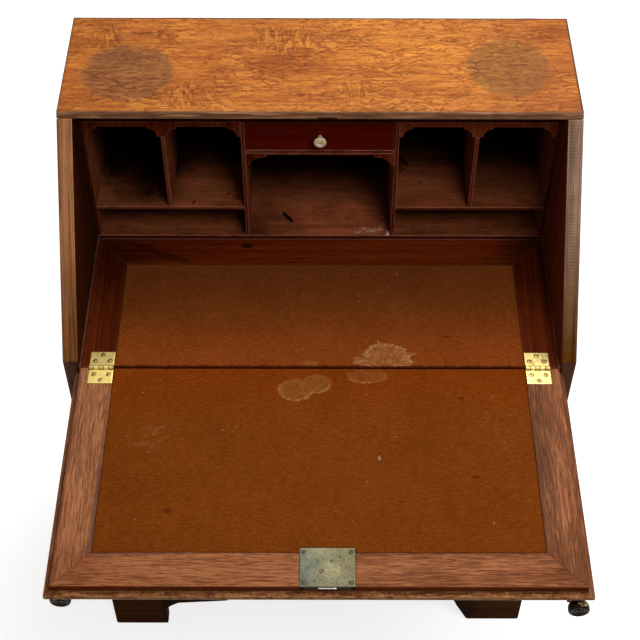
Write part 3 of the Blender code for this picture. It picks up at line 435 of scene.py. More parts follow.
# the fall's frame: dirt in the near left corner, along the leather and along the left edge
fallStains = [
    Stain((-0.318, -0.33), (0.055, 0.05), (0.66, 0.56, 0.6), 0.8, 1.2, (0.2, 1.1)),
    Stain((0.335, -0.33), (0.045, 0.075), (0.72, 0.68, 0.66), 0.7, 1.2, (0.2, 1.1)),
    Stain((-0.335, -0.1), (0.03, 0.12), (0.84, 0.88, 1.0), 0.8, 0.8, (0.2, 1.1)),
    Stain((0.31, -0.11), (0.019, 0.17), (0.6, 0.58, 0.6), 0.9, 0.9, (0.5, 1.1)),
]
stileStrokes = [
    Brush((-0.304, 0.0), (-0.3025, -0.33), 0.0016, (0.12, 0.05, 0.034), 0.5, fine=0.6, ragged=1.2,
          taper=0.02),
    Brush((-0.3045, -0.16), (-0.304, -0.34), 0.0075, (0.12, 0.056, 0.042), 0.6, fine=0.8, ragged=0.9,
          taper=0.3, core=0.0),
    Brush((0.3035, 0.0), (0.3035, -0.33), 0.0016, (0.13, 0.05, 0.03), 0.5, fine=0.6, ragged=1.2,
          taper=0.02),
    Brush((-0.3495, 0.0), (-0.3495, -0.37), 0.0022, (0.1, 0.034, 0.026), 0.6, fine=0.6, ragged=1.4,
          taper=0.02),
]
fallRailStrokes = [
    Brush((-0.306, -0.311), (-0.2, -0.311), 0.005, (0.1, 0.044, 0.034), 0.7, fine=0.6, ragged=0.9,
          taper=0.3, core=0.0),
    Brush((0.05, -0.3095), (0.3, -0.3095), 0.0013, (0.15, 0.05, 0.03), 0.5, fine=0.6, ragged=1.2,
          taper=0.1),
]
innerShade = [
    Stain((0.0, 0.0), (0.3, 9.0), (0.35, 0.33, 0.32), 1.0, 0.02, (0.94, 1.0)),
    Stain((-0.37, 0.0), (0.15, 9.0), (1.22, 1.15, 0.9), 1.0),
    Stain((0.37, 0.0), (0.15, 9.0), (0.80, 0.88, 0.85), 1.0),
]

oakLook = dict(
    grain="x", dark=(0.42, 0.112, 0.021), mid=(0.625, 0.198, 0.035), light=(0.77, 0.272, 0.049),
    spread=0.12, streak=(20.0, 230.0), broad=(4.0, 18.0), fleck=0.32, fleckColour=(0.84, 0.34, 0.058),
    lines=0.8, lineColour=(0.42, 0.3, 0.24), pore=(60.0, 430.0), pores=0.3, worn=0.95,
    wornColour=(0.11, 0.045, 0.02), rough=0.5, specular=0.08,
)
# the top's bevelled nose: its grey-brown cast is a painted sheen
noseSheenLook = dict(
    grain="x", dark=(0.15, 0.06, 0.025), mid=(0.3, 0.122, 0.053), light=(0.47, 0.22, 0.108),
    spread=0.075, streak=(14.0, 330.0), streakShare=0.75, broad=(9.0, 40.0), pores=0.6, worn=0.5,
    wornColour=(0.48, 0.29, 0.17), rough=0.65, specular=0.05,
)
slopeLook = dict(
    grain="slope", dark=(0.55, 0.51, 0.48), mid=(0.98, 0.98, 0.98), light=(1.25, 1.27, 1.3), spread=0.09,
    streak=(7.0, 330.0), streakShare=0.8, broad=(4.0, 60.0), pores=0.25, worn=0.25,
    wornColour=(0.7, 0.66, 0.62), rough=0.65, specular=0.05,
)
fallLook = dict(
    grain="y", dark=(0.24, 0.077, 0.03), mid=(0.39, 0.136, 0.05), light=(0.53, 0.205, 0.084),
    spread=0.075, streak=(26.0, 700.0), streakShare=0.7, broad=(7.0, 40.0), bend=0.004,
    pore=(60.0, 850.0), poreStep=(0.5, 0.6), pores=0.45, worn=0.3, wornColour=(0.11, 0.04, 0.024),
    rough=0.5, specular=0.05,
)
mahoganyLook = dict(
    grain="x", dark=(0.075, 0.008, 0.0008), mid=(0.15, 0.019, 0.0018), light=(0.235, 0.038, 0.0042),
    broad=(2.4, 24.0), pores=0.5, worn=0.4, wornColour=(0.22, 0.07, 0.026), rough=0.5, specular=0.02,
)
nestLook = dict(
    grain="x", dark=(0.16, 0.039, 0.013), mid=(0.27, 0.069, 0.024), light=(0.37, 0.105, 0.04),
    spread=0.2, streak=(9.0, 150.0), broad=(4.0, 16.0), pores=0.5, worn=0.5,
    wornColour=(0.4, 0.15, 0.07), rough=0.65, specular=0.02,
)
darkOakLook = dict(
    grain="x", dark=(0.04, 0.011, 0.0028), mid=(0.07, 0.022, 0.006), light=(0.115, 0.038, 0.011),
    pores=0.6, worn=0.5, wornColour=(0.04, 0.014, 0.005), rough=0.7, specular=0.02,
)
liningLook = dict(
    grain="y", dark=(0.25, 0.125, 0.052), mid=(0.36, 0.195, 0.088), light=(0.46, 0.27, 0.135), pores=0.3,
    worn=0.4, wornColour=(0.22, 0.11, 0.05), rough=0.75, specular=0.1,
)
sawMarks = {"span": (0.77, 1.02), "tooth": 0.0034, "colour": (0.66, 0.64, 0.62)}
# each sloped edge's colour at the foot of the slope and at the nose: its lighter, greyer upper end is painted
# light and sheen
slopeEdges = {
    "left": {"high": (0.60, 0.255, 0.105), "low": (0.27, 0.093, 0.027), "share": 0.3},
    "right": {"high": (0.46, 0.280, 0.182), "low": (0.15, 0.046, 0.001), "share": 0.9},
}
fallFront = {
    "y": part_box("fall_panel")[0][1],
    "frame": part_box("fall_frame")[0][1],
    "half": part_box("fall_frame")[1][0],
    "brown": (0.11, 0.034, 0.010),
    "gold": (0.34, 0.130, 0.042),
    "dirt": (0.090, 0.024, 0.008),
    "pale": (0.56, 0.27, 0.095),
}
topFlames = [((-0.188, 0.273), (0.050, 0.030)), ((-0.057, 0.402), (0.048, 0.036)),
             ((-0.322, 0.406), (0.030, 0.028)), ((0.050, 0.290), (0.030, 0.020))]
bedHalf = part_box("bed_panel")[1][0]
stileStain = Stain((0.34, 0.10), (0.10, 0.40), (1.3, 1.28, 1.22), 1.0)
# painted light on the right side's inner face
rightInsideLight = Stain((0.36, 0.20), (0.10, 0.60), (3.7, 3.5, 6.0), 1.0)

topOak = woodFinish("top_oak", oakLook, marked(topStains, topStrokes), flames=topFlames)
sideLook = dict(oakLook, dark=(0.22, 0.060, 0.014), mid=(0.36, 0.108, 0.024), light=(0.47, 0.158, 0.035),
                fleckColour=(0.54, 0.205, 0.048), worn=0.6)
sideOak = woodFinish("side_oak", sideLook, grain="z")
# the sides' front edges, darkened as painted shade
sideFrontShaded = woodFinish("side_front_oak", sideLook, grain="z", dark=(0.07, 0.019, 0.005),
                       mid=(0.12, 0.035, 0.008), light=(0.17, 0.056, 0.013),
                       fleckColour=(0.2, 0.07, 0.018), worn=0.3)
frontOak = woodFinish("front_oak", sideLook)
fallShow = woodFinish("fall_show_oak", sideLook)
fallLip = woodFinish("fall_lip_wood", fallLook, rubbedFront(fallFront), dark=(0.17, 0.053, 0.020),
                     mid=(0.29, 0.098, 0.035), light=(0.41, 0.155, 0.062), worn=0.4)
rebate = woodFinish("rebate_wood", mahoganyLook, mid=(0.23, 0.058, 0.018), worn=0.1)
noseSheenEdge = woodFinish("nose_edge", noseSheenLook)
slopeSheenEdge = {}
for hand, edge in slopeEdges.items():
    slopeSheenEdge[hand] = woodFinish(hand + "_slope_edge", slopeLook, sawn(edge))
fallStile = woodFinish("fall_stile_wood", fallLook, marked(fallStains, stileStrokes))
fallRail = woodFinish("fall_rail_wood", fallLook, marked(fallStains, fallRailStrokes), grain="x",
                      dark=(0.21, 0.062, 0.022), mid=(0.345, 0.110, 0.037), light=(0.47, 0.168, 0.062),
                      streak=(30.0, 700.0), pore=(70.0, 800.0))
loperWood = woodFinish("loper_wood", fallLook)
bedRail = woodFinish("bed_rail_mahogany", mahoganyLook, dusty(bedHalf, railStains, railStrokes),
                     dark=(0.087, 0.0093, 0.0012), mid=(0.174, 0.0220, 0.0028), light=(0.27, 0.043, 0.0060))
bedStile = woodFinish("bed_stile_mahogany", mahoganyLook, dusty(bedHalf, [stileStain]), grain="y",
                      dark=(0.036, 0.0044, 0.0005), mid=(0.082, 0.0115, 0.0014),
                      light=(0.140, 0.0220, 0.0032))
# the inner faces of the sides and back are darkened as painted shade, and the right side's inner face is lighter
# as painted light
insideShadedWood = woodFinish("inside_mahogany", mahoganyLook, marked([rightInsideLight]), grain="z",
                        dark=(0.022, 0.004, 0.001), mid=(0.05, 0.010, 0.002), light=(0.085, 0.018, 0.005))
nestFlat = woodFinish("nest_board", nestLook, shadedAndGrimy(nestShadeLightAndStains, nestStrokes))
nestUpright = woodFinish("nest_upright", nestLook, shadedAndGrimy(), grain="z")
# the nest's front edges: their pale worn colour is partly wear and partly a painted highlight along the rounded
# edges
nestEdgeWornAndHighlit = woodFinish("nest_edge", mahoganyLook, grain="z", mid=(0.19, 0.030, 0.008),
                      light=(0.26, 0.058, 0.018), worn=0.8, wornColour=(0.46, 0.165, 0.11))
nestShaded = woodFinish("nest_shaded_edge", mahoganyLook, grain="z", dark=(0.025, 0.0026, 0.0006),
                        mid=(0.06, 0.009, 0.003), light=(0.10, 0.020, 0.007), worn=0.4,
                        wornColour=(0.20, 0.05, 0.03))
drawerRed = woodFinish("small_drawer_mahogany", mahoganyLook, dark=(0.085, 0.0050, 0.0020),
                       mid=(0.135, 0.0080, 0.0030), light=(0.18, 0.013, 0.005), rough=0.4, pores=0.3,
                       toneShare=0.0)
footOak = woodFinish("foot_oak", darkOakLook)
bracketOak = woodFinish("bracket_oak", darkOakLook, marked(innerShade), dark=(0.056, 0.0155, 0.0036),
                        mid=(0.098, 0.0310, 0.0078), light=(0.160, 0.0530, 0.0140))
# the glue blocks are coloured darker than the feet as painted shade behind the brackets
shadedBlockWood = woodFinish("glue_block_wood", darkOakLook, grain="z", dark=(0.014, 0.0045, 0.0014),
                       mid=(0.026, 0.0090, 0.0028), light=(0.042, 0.0150, 0.0050))
liningWood = woodFinish("lining_wood", liningLook)
backWood = woodFinish("back_wood", liningLook, grain="z")


# leather: mottled rust brown with a fine grain, pale crusts round old spills, dark spots and a torn spot.
# It is tinted in steps away from the hinge line
leatherLook = {
    "dark": (0.132, 0.027, 0.0028),
    "mid": (0.203, 0.046, 0.0048),
    "light": (0.290, 0.076, 0.0098),
    "crust": (0.60, 0.31, 0.125),
    "damp": (0.42, 0.205, 0.046),
    "spot": (0.05, 0.010, 0.003),
    "tornEdge": (0.10, 0.012, 0.004),
    "torn": (0.54, 0.30, 0.14),
    "rim": (0.042, 0.006, 0.003),
    "rough": 0.7,
    "specular": 0.0,
    "tints": [
        ((-0.11, -0.02), (0.98, 0.81, 0.64)),
        ((-0.002, 0.002), (1.16, 1.28, 2.3)),
        ((0.03, 0.12), (0.82, 0.92, 1.15)),
        ((0.12, 0.22), (1.25, 1.3, 1.5)),
    ],
    "spills": [
        {"lobes": [((-0.034, -0.0395), (0.0255, 0.0205)), ((-0.005, -0.0285), (0.0225, 0.0172))],
         "inside": 0.20, "crumb": 0.05, "rim": 0.42, "ragged": 0.5, "below": -0.040},
        {"lobes": [((0.098, 0.025), (0.034, 0.022)), ((0.094, 0.011), (0.042, 0.009)),
                   ((0.130, 0.027), (0.013, 0.003)), ((0.062, 0.018), (0.012, 0.003))],
         "inside": 0.24, "crumb": 0.20, "rim": 0.6, "ragged": 1.2, "below": 0.06},
        {"lobes": [((0.070, -0.0150), (0.030, 0.0125))],
         "inside": 0.13, "crumb": 0.04, "rim": 0.35, "ragged": 0.9, "below": -0.024},
        {"lobes": [((-0.013, 0.009), (0.012, 0.006))],
         "inside": 0.22, "crumb": 0.05, "rim": 0.0, "ragged": 0.8, "below": 0.0},
    ],
    "spots": [((-0.205, -0.245), (0.006, 0.004)), ((0.190, 0.060), (0.006, 0.003)),
              ((0.205, -0.055), (0.004, 0.003)), ((0.215, -0.190), (0.006, 0.003))],
    "tear": ((0.084, -0.159), (0.0022, 0.0042)),
    "scuffs": [
        ((-0.252, -0.112), (-0.206, -0.102), 0.0044),
        ((-0.249, -0.125), (-0.222, -0.107), 0.0050),
        ((-0.240, -0.152), (-0.222, -0.127), 0.0044),
        ((-0.262, -0.138), (-0.228, -0.134), 0.0064),
        ((-0.302, -0.033), (-0.289, -0.054), 0.0020),
    ],
}


def leatherFinish(name, look):
    finish, shader, wire, place, axes = startFinish(name, look)
    cloudy = wire.noise(place, 9.0, 3.0, 1.0)
    mottle = wire.noise(place, 48.0, 4.0, 3.0)
    fine = wire.noise(place, 460.0, 3.0, 5.0, 0.7)
    threads = wire.noise(wire.join(axes[0] * 110.0, axes[1] * 300.0), 1.0, 2.0, 8.0)
    value = cloudy * 0.15 + mottle * 0.11 + fine * 0.44 + threads * 0.30
    stops = {"stops": [(0.37, look["dark"]), (0.5, look["mid"]), (0.64, look["light"])]}
    colour = wire.node("ShaderNodeValToRGB", stops, {0: value})
    fromHinge = axes[1] - hingeY
    for span, tint in look["tints"]:
        colour = wire.blend(fromHinge.rise(*span), colour, tint, "MULTIPLY")
    ragged = wire.noise(place, 55.0, 5.0, 2.0, 0.72) - 0.5
    ragged = ragged + (wire.noise(place, 170.0, 3.0, 9.0, 0.7) - 0.5) * 0.5
    crumbs = wire.noise(place, 170.0, 4.0, 6.0, 0.65).rise(0.36, 0.64)
    for spill in look["spills"]:
        lobes = [roundSpot(axes, *lobe, ragged * spill["ragged"]) for lobe in spill["lobes"]]
        reach = functools.reduce(Wire.least, lobes)
        wet = reach.fall(0.8, 1.0) * (0.5 + crumbs * 0.5)
        colour = wire.blend(wet * spill["inside"], colour, look["damp"])
        colour = wire.blend(reach.fall(0.85, 1.0) * crumbs * spill["crumb"], colour, look["crust"])
        lower = axes[1].fall(spill["below"] + hingeY, spill["below"] + 0.02 + hingeY)
        rim = reach.rise(0.74, 0.94) * reach.fall(0.95, 1.06) * (0.3 + crumbs * 0.7) * (0.15 + lower * 0.85)
        colour = wire.blend(rim * spill["rim"], colour, look["crust"])
    for spot in look["spots"]:
        mask = roundSpot(axes, *spot, ragged * 0.9).fall(0.5, 1.2)
        colour = wire.blend(mask * 0.55, colour, look["spot"])
    tear = roundSpot(axes, *look["tear"], (fine - 0.5) * 4.0 + ragged)
    colour = wire.blend(tear.fall(1.6, 2.6) * 0.4, colour, look["tornEdge"])
    colour = wire.blend(tear.fall(0.7, 1.0) * 0.65, colour, look["torn"])
    for scuff in look["scuffs"]:
        mark = Brush(*scuff, look["crust"], core=0.0)
        mask = stroke(axes, mark, (fine - 0.5) * 3.0 + ragged * 3.0) * crumbs
        colour = wire.blend(mask * 0.15, colour, mark.colour)
    specks = wire.noise(place, 190.0, 0.0, 12.0).rise(0.84, 0.88)
    colour = wire.blend(specks * 0.4, colour, look["crust"])
    colour = wire.blend(wire.attribute("wear") * 0.92, colour, look["rim"])
    rough = look["rough"] + (mottle - 0.5) * 0.2
    endFinish(wire, shader, colour, rough, fine * 0.7 + mottle * 0.3, 0.0003, 0.35)
    return finish


leather = leatherFinish("writing_leather", leatherLook)


# metal: a bright and a tarnished colour shared out by noise, with fine drawn scratches in the roughness.
# A bone knob is made the same way, without the metal
def metalFinish(name, bright, dull, rough, paint=None, metal=1.0, cloud=90.0, grit=700.0,
                tarnish=(0.45, 0.7), specular=0.2):
    finish, shader, wire, place, axes = startFinish(name, {"metal": metal, "specular": specular})
    clouds = wire.noise(place, cloud, 4.0, 1.0)
    grain = wire.noise(place, grit, 3.0, 4.0)
    scratch = wire.noise(wire.join(axes[0] * 60.0, axes[1] * 1500.0, axes[2] * 1500.0), 1.0, 2.0, 2.0)
    share = (clouds * 0.6 + grain * 0.4).rise(*tarnish)
    colour = wire.blend(share, bright, dull)
    if paint:
        colour = paint(wire, place, axes, colour)
    roughness = rough + share * 0.15 + (scratch - 0.5) * 0.15
    endFinish(wire, shader, colour, roughness, scratch * 0.6 + grain * 0.4, 0.0001, 0.15)
    return finish


# the lock plate: yellow in the middle, grey-green to the left, olive to the right and brown along the front
lockStains = [
    Stain((-0.022, -0.328), (0.028, 0.04), (0.52, 0.68, 0.92), 0.8, 0.7, (0.3, 1.2)),
    Stain((0.042, -0.322), (0.022, 0.04), (0.62, 0.62, 0.55), 0.8, 0.7, (0.3, 1.2)),
    Stain((0.012, -0.364), (0.06, 0.026), (0.58, 0.62, 0.66), 0.8, 0.6, (0.4, 1.2)),
]
rubAndGlintLow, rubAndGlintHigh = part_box("right_loper_knob")
rubAndGlintY = rubAndGlintHigh[1] - (rubAndGlintHigh[1] - rubAndGlintLow[1]) * 0.75 - hingeY
rubAndGlintX = (rubAndGlintLow[0] + rubAndGlintHigh[0]) / 2
knobRubAndGlint = [  # where one knob is rubbed bright, partly wear and partly a painted glint
    Brush((rubAndGlintX - 0.004, rubAndGlintY), (rubAndGlintX + 0.011, rubAndGlintY), 0.0045, (0.62, 0.42, 0.16), 0.9, broken=330.0),
]

brass = metalFinish("hinge_brass", (0.65, 0.51, 0.158), (0.38, 0.28, 0.088), 0.42)
dullBrass = metalFinish("bed_leaf_brass", (0.49, 0.37, 0.132), (0.24, 0.175, 0.062), 0.46)
screwBrass = metalFinish("screw_brass", (0.30, 0.21, 0.07), (0.12, 0.085, 0.035), 0.4)
lockBrass = metalFinish("lock_plate_brass", (0.160, 0.137, 0.071), (0.090, 0.083, 0.056), 0.42,
                        marked(lockStains), cloud=26.0, grit=260.0, tarnish=(0.30, 0.72))
lockScrew = metalFinish("lock_screw_brass", (0.055, 0.062, 0.042), (0.020, 0.025, 0.020), 0.45)
steel = metalFinish("bolt_steel", (0.70, 0.69, 0.66), (0.42, 0.41, 0.38), 0.3)
bronze = metalFinish("knob_bronze", (0.26, 0.17, 0.065), (0.006, 0.005, 0.004), 0.30, marked(strokes=knobRubAndGlint),
                     metal=0.9, tarnish=(0.28, 0.46), specular=0.1, cloud=220.0)
keyholeShadeSteel = metalFinish("key_well_steel", (0.03, 0.027, 0.024), (0.008, 0.007, 0.006), 0.6, metal=0.6)
bone = metalFinish("knob_bone", (1.0, 0.86, 0.58), (0.97, 0.77, 0.47), 0.4, metal=0.0, cloud=160.0,
                   specular=0.3)
print("finishes made")


wornBand = 0.004  # how far wear reaches from an edge
thinShare = 0.3  # the most of a thin piece that one such band takes up


def corners(node):
    low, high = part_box(node)
    return np.array(low), np.array(high)


def unit(vectors):
    return vectors / np.linalg.norm(vectors, axis=-1, keepdims=True)


def standing(whole, axis):  # turns points so that their third part runs along the axis
    verts = np.empty_like(whole)
    verts[..., {"x": [1, 2, 0], "y": [0, 2, 1], "z": [0, 1, 2]}[axis]] = whole
    return verts


# four-sided faces between neighbours in a grid of point numbers, which may close on itself either way
def gridFaces(index, closedRows=False, closedColumns=True, flip=False):
    if closedRows:
        index = np.r_[index, index[:1]]
    if closedColumns:
        index = np.c_[index, index[:, :1]]
    faces = np.stack([index[:-1, :-1], index[:-1, 1:], index[1:, 1:], index[1:, :-1]], -1).reshape(-1, 4)
    return faces[:, [0, 3, 2, 1]] if flip else faces


def evenShape(verts, faces, wear=0.0):  # one finish, evenly worn
    verts = verts.reshape(-1, 3)
    return verts, faces, np.full(len(verts), wear), np.zeros(len(faces), int)


# a corner becomes an arc between its two tangent points, and one more point stands a little way along each
# flat, where the wear of the edge ends. The step is the way in from each corner that keeps a unit's distance
# to both flats
def roundedOutline(points, radius, band=wornBand, steps=3):
    p = np.asarray(points, float)
    r = np.broadcast_to(radius, len(p)).astype(float)
    ahead = unit(np.roll(p, -1, 0) - p)
    bends = np.abs(np.cross(np.roll(ahead, 1, 0), ahead)) > 0.001
    p, r = p[bends], r[bends]
    ahead = unit(np.roll(p, -1, 0) - p)
    back = -np.roll(ahead, 1, 0)
    half = np.arccos(np.clip((back * ahead).sum(1), -1, 1)) / 2
    reach = r / np.tan(half)
    middle = unit(back + ahead) / np.sin(half)[:, None]
    centre = p + middle * r[:, None]
    start = p + back * reach[:, None]
    end = p + ahead * reach[:, None]
    t = np.linspace(0, 1, steps + 1)[None, :, None]
    turn = (np.pi - 2 * half)[:, None, None]
    first = np.sin((1 - t) * turn) * (start - centre)[:, None]
    last = np.sin(t * turn) * (end - centre)[:, None]
    arc = centre[:, None] + (first + last) / np.sin(turn)
    flat = np.linalg.norm(np.roll(p, -1, 0) - p, axis=1) - reach - np.roll(reach, -1)
    out = np.minimum(band, 0.4 * flat)
    before = start + back * np.roll(out, 1)[:, None]
    after = end + ahead * out[:, None]
    convex = np.cross(back, ahead) < 0
    side = np.where(convex, 1.0, -1.0)[:, None]
    normal = np.stack([-ahead[:, 1], ahead[:, 0]], 1)
    inArc = unit(centre[:, None] - arc) * side[:, None]
    inward = np.concatenate([np.roll(normal, 1, 0)[:, None], inArc, normal[:, None]], 1)
    deepest = np.full((len(p), steps + 3), np.inf)
    deepest[:, 1:-1] = np.where(convex, r, np.inf)[:, None]
    outline = np.concatenate([before[:, None], arc, after[:, None]], 1)
    worn = np.tile(np.r_[0.0, 0.5, np.ones(steps - 1), 0.5, 0.0], len(p))
    return {"points": outline.reshape(-1, 2), "worn": worn, "corners": p, "step": middle * side, "band": band,
            "inward": inward.reshape(-1, 2), "deepest": deepest.ravel()}


def rectangle(low, high):
    return [(low[0], low[1]), (high[0], low[1]), (high[0], high[1]), (low[0], high[1])]


# the outline, anticlockwise, is carried along an axis and draws in by a quarter round at both ends. Dents
# move the corners inwards by a smooth random amount along the way, and a notch shifts a corner for a while
def carve(outline, axis, span, edge=0.0008, flatFinish=None, endFaces=(0, 0), spacing=None, dents=None,
          notch=None):
    points, worn, around = outline["points"], outline["worn"], outline["corners"]
    n, m = len(points), len(around)
    corner = np.arange(n) // (n // m)
    low, high = span
    lowEdge, highEdge = np.broadcast_to(edge, 2)
    angle = np.linspace(0, np.pi / 2, 4)
    band = min(wornBand, thinShare * (high - low - lowEdge - highEdge))
    inner = np.array([low + lowEdge + band, high - highEdge - band])
    middle = np.zeros(0)
    if spacing:
        middle = np.linspace(*inner, max(2, int((high - low) / spacing)))[1:-1]
    if notch:
        ramp = notch["step"]
        middle = np.sort(np.r_[middle, notch["from"], notch["from"] + ramp, notch["to"] - ramp, notch["to"]])
    lowPlace = low + lowEdge * (1 - np.cos(angle))
    highPlace = (high - highEdge * (1 - np.cos(angle)))[::-1]
    place = np.r_[lowPlace, inner[0], middle, inner[1], highPlace]
    drawIn, ends = np.zeros((2, len(place)))
    drawIn[:4] = lowEdge * (1 - np.sin(angle))
    drawIn[-4:] = highEdge * (1 - np.sin(angle))[::-1]
    ends[:4] = (0.3, 1.0, 1.0, 0.5)
    ends[-4:] = ends[3::-1]
    inset = np.repeat(drawIn[:, None], n, 1)
    if dents:
        knots = np.arange(low, high + 2 * dents["every"], dents["every"])
        series = dentDraw.random((m, len(knots))) ** 3
        bumps = np.array([np.interp(place, knots, row) for row in series])
        inset = inset + dents["depth"] * (worn >= 1.0) * bumps[corner].T
    # past its centre an arc has become a sharp corner
    rest = np.maximum(inset - outline["deepest"][None], 0.0)
    step = np.repeat(outline["step"], n // m, 0)
    ring = points[None] + (inset - rest)[..., None] * outline["inward"][None] + rest[..., None] * step[None]
    if notch:
        inside = (place >= notch["from"] + ramp / 2) & (place <= notch["to"] - ramp / 2)
        shifted = inside[:, None] & (corner == notch["corner"])[None]
        ring = ring + shifted[..., None] * np.asarray(notch["shift"])
    along = np.broadcast_to(place[:, None, None], (len(place), n, 1))
    whole = np.concatenate([ring, along], 2).reshape(-1, 3)
    size = np.ptp(around, axis=0).min()
    for end, edgeIn in ((low, lowEdge), (high, highEdge)):  # the flat of each end, inside its worn band
        inset = edgeIn + max(min(outline["band"], thinShare * size - edgeIn), 0.0001)
        whole = np.r_[whole, np.c_[around + outline["step"] * inset, np.full(m, end)]]
    index = np.arange(len(place) * n).reshape(len(place), n)
    faces, capFinish = gridFaces(index).tolist(), []
    for cap, (ring, flip) in enumerate(((index[0], -1), (index[-1], 1))):
        inner = index.size + cap * m + np.arange(m)
        band = np.stack([ring, np.roll(ring, -1), inner[np.roll(corner, -1)], inner[corner]], 1)[:, ::flip]
        faces += [list(dict.fromkeys(face)) for face in band.tolist()]
        faces.append(inner[::flip].tolist())
        capFinish += [endFaces[cap]] * (n + 1)
    if axis == "y":
        faces = [face[::-1] for face in faces]
    perPoint = np.zeros(n, int)
    if flatFinish is not None:  # half of each arc goes with the flat before it
        flats = np.asarray(flatFinish)
        halves = np.arange(n // m) < (n // m - 1) // 2
        perPoint = np.where(halves[None], np.roll(flats, 1)[:, None], flats[:, None]).ravel()
    finish = np.r_[np.tile(perPoint, len(place) - 1), capFinish]
    wear = 1 - (1 - worn[None]) * (1 - ends[:, None])
    return standing(whole, axis), faces, np.r_[wear.ravel(), np.zeros(2 * m)], finish


def joined(shapes):
    starts = np.cumsum([0] + [len(shape[0]) for shape in shapes]).tolist()
    faces = [[corner + start for corner in face] for shape, start in zip(shapes, starts) for face in shape[1]]
    verts, wear, finish = (np.concatenate([shape[part] for shape in shapes]) for part in (0, 2, 3))
    return verts, faces, wear, finish


def fillAttribute(mesh, name, values):
    if name not in mesh.attributes:
        mesh.attributes.new(name, "FLOAT", "POINT")
    values = np.broadcast_to(values, len(mesh.vertices)).astype(np.float32)
    mesh.attributes[name].data.foreach_set("value", values)


def smoothShade(mesh, sharp):
    mesh.shade_smooth()
    mesh.set_sharp_from_angle(angle=math.radians(sharp))


# edges that turn by more degrees than this stay sharp
usualSharp, softSharp, metalSharp = 50.0, 60.0, 40.0
weldWithin, dropUnder = 0.000002, 0.000001


def makePiece(name, shape, finishes, body, slot, standsFor=(), sharp=usualSharp, weld=False):
    verts, faces, wear, finish = shape
    mesh = bpy.data.meshes.new(name)
    mesh.from_pydata(verts.tolist(), [], faces)
    fillAttribute(mesh, "wear", wear)
    fillAttribute(mesh, "tone", toneDraw.random())
    for material in finishes:
        mesh.materials.append(material)
    mesh.polygons.foreach_set("material_index", finish.astype(np.int32))
    if weld:
        work = bmesh.new()
        work.from_mesh(mesh)
        bmesh.ops.remove_doubles(work, verts=work.verts, dist=weldWithin)
        bmesh.ops.dissolve_degenerate(work, edges=work.edges, dist=dropUnder)
        bmesh.ops.recalc_face_normals(work, faces=work.faces)
        work.to_mesh(mesh)
        work.free()
    mesh.update()
    smoothShade(mesh, sharp)
    piece = bpy.data.objects.new(name, mesh)
    bpy.context.scene.collection.objects.link(piece)
    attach(piece, body)
    if standsFor:
        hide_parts(*standsFor)
    return piece


# a board between two corners, carried along its longest side
def boardShape(low, high, edge=0.0009, flatFinish=None, band=wornBand):
    low, high = np.asarray(low, float), np.asarray(high, float)
    along = int(np.argmax(high - low))
    flat = [index for index in range(3) if index != along]
    outline = roundedOutline(rectangle(low[flat], high[flat]), edge, band)
    return carve(outline, "xyz"[along], (low[along], high[along]), edge, flatFinish)


def plank(node, finish, body, slot, edge=0.0009, frontEdge=None):
    shape, finishes = boardShape(*corners(node), edge), [finish]
    if frontEdge:
        shape, finishes = boardShape(*corners(node), edge, (0, 0, 0, 1), 0.0008), [finish, frontEdge]
    makePiece(node + "_board", shape, finishes, body, slot, [node])


# takes a closed shape out of a piece: the walls of the hole get the piece's given finish
def cutOut(piece, shape, finish):
    mesh = bpy.data.meshes.new("cutter")
    mesh.from_pydata(shape[0].tolist(), [], shape[1])
    mesh.polygons.foreach_set("material_index", np.full(len(shape[1]), finish, np.int32))
    cutter = bpy.data.objects.new("cutter", mesh)
    bpy.context.scene.collection.objects.link(cutter)
    piece.modifiers.new("hole", "BOOLEAN").object = cutter
    tone = piece.data.attributes["tone"].data[0].value
    graph = bpy.context.evaluated_depsgraph_get()
    done = piece.evaluated_get(graph)
    made = bpy.data.meshes.new_from_object(done, preserve_all_data_layers=True, depsgraph=graph)
    piece.modifiers.clear()
    piece.data = made
    fillAttribute(made, "tone", tone)
    smoothShade(made, usualSharp)
    bpy.data.objects.remove(cutter)
    bpy.data.meshes.remove(mesh)


# carcase: the top with its bevelled nose, sides cut to the slope, planked back
hands = (("left", -1), ("right", 1))
topSize = {"nose": 0.010, "edge": 0.0011, "radii": (0.0007, 0.001, 0.001, 0.0012, 0.0012), "spacing": 0.012}
topDents = {"depth": 0.0007, "every": 0.025}
strike = {"corner": 0, "from": -0.0030, "to": 0.0245, "step": 0.0006, "shift": (0.0012, 0.0018)}


def downInto(point, level):  # from a point on the slope square into the case, down to a level
    return point + intoCase * ((point[1] - level) / -intoCase[1])


topLow, topHigh = corners("top_board")
noseLow = np.array([topLow[1], topHigh[2] - topSize["nose"] * upSlope[1]])
outline = [noseLow, downInto(noseLow, topLow[2]), (topHigh[1], topLow[2]), (topHigh[1], topHigh[2])]
outline = roundedOutline(outline + [noseLow + upSlope * topSize["nose"]], topSize["radii"])
shape = carve(outline, "x", (topLow[0], topHigh[0]), topSize["edge"], (1, 1, 0, 0, 1), (1, 1),
              topSize["spacing"], topDents, strike)
top = makePiece("top", shape, [topOak, noseSheenEdge], "carcase", "oak", ["top_board"])

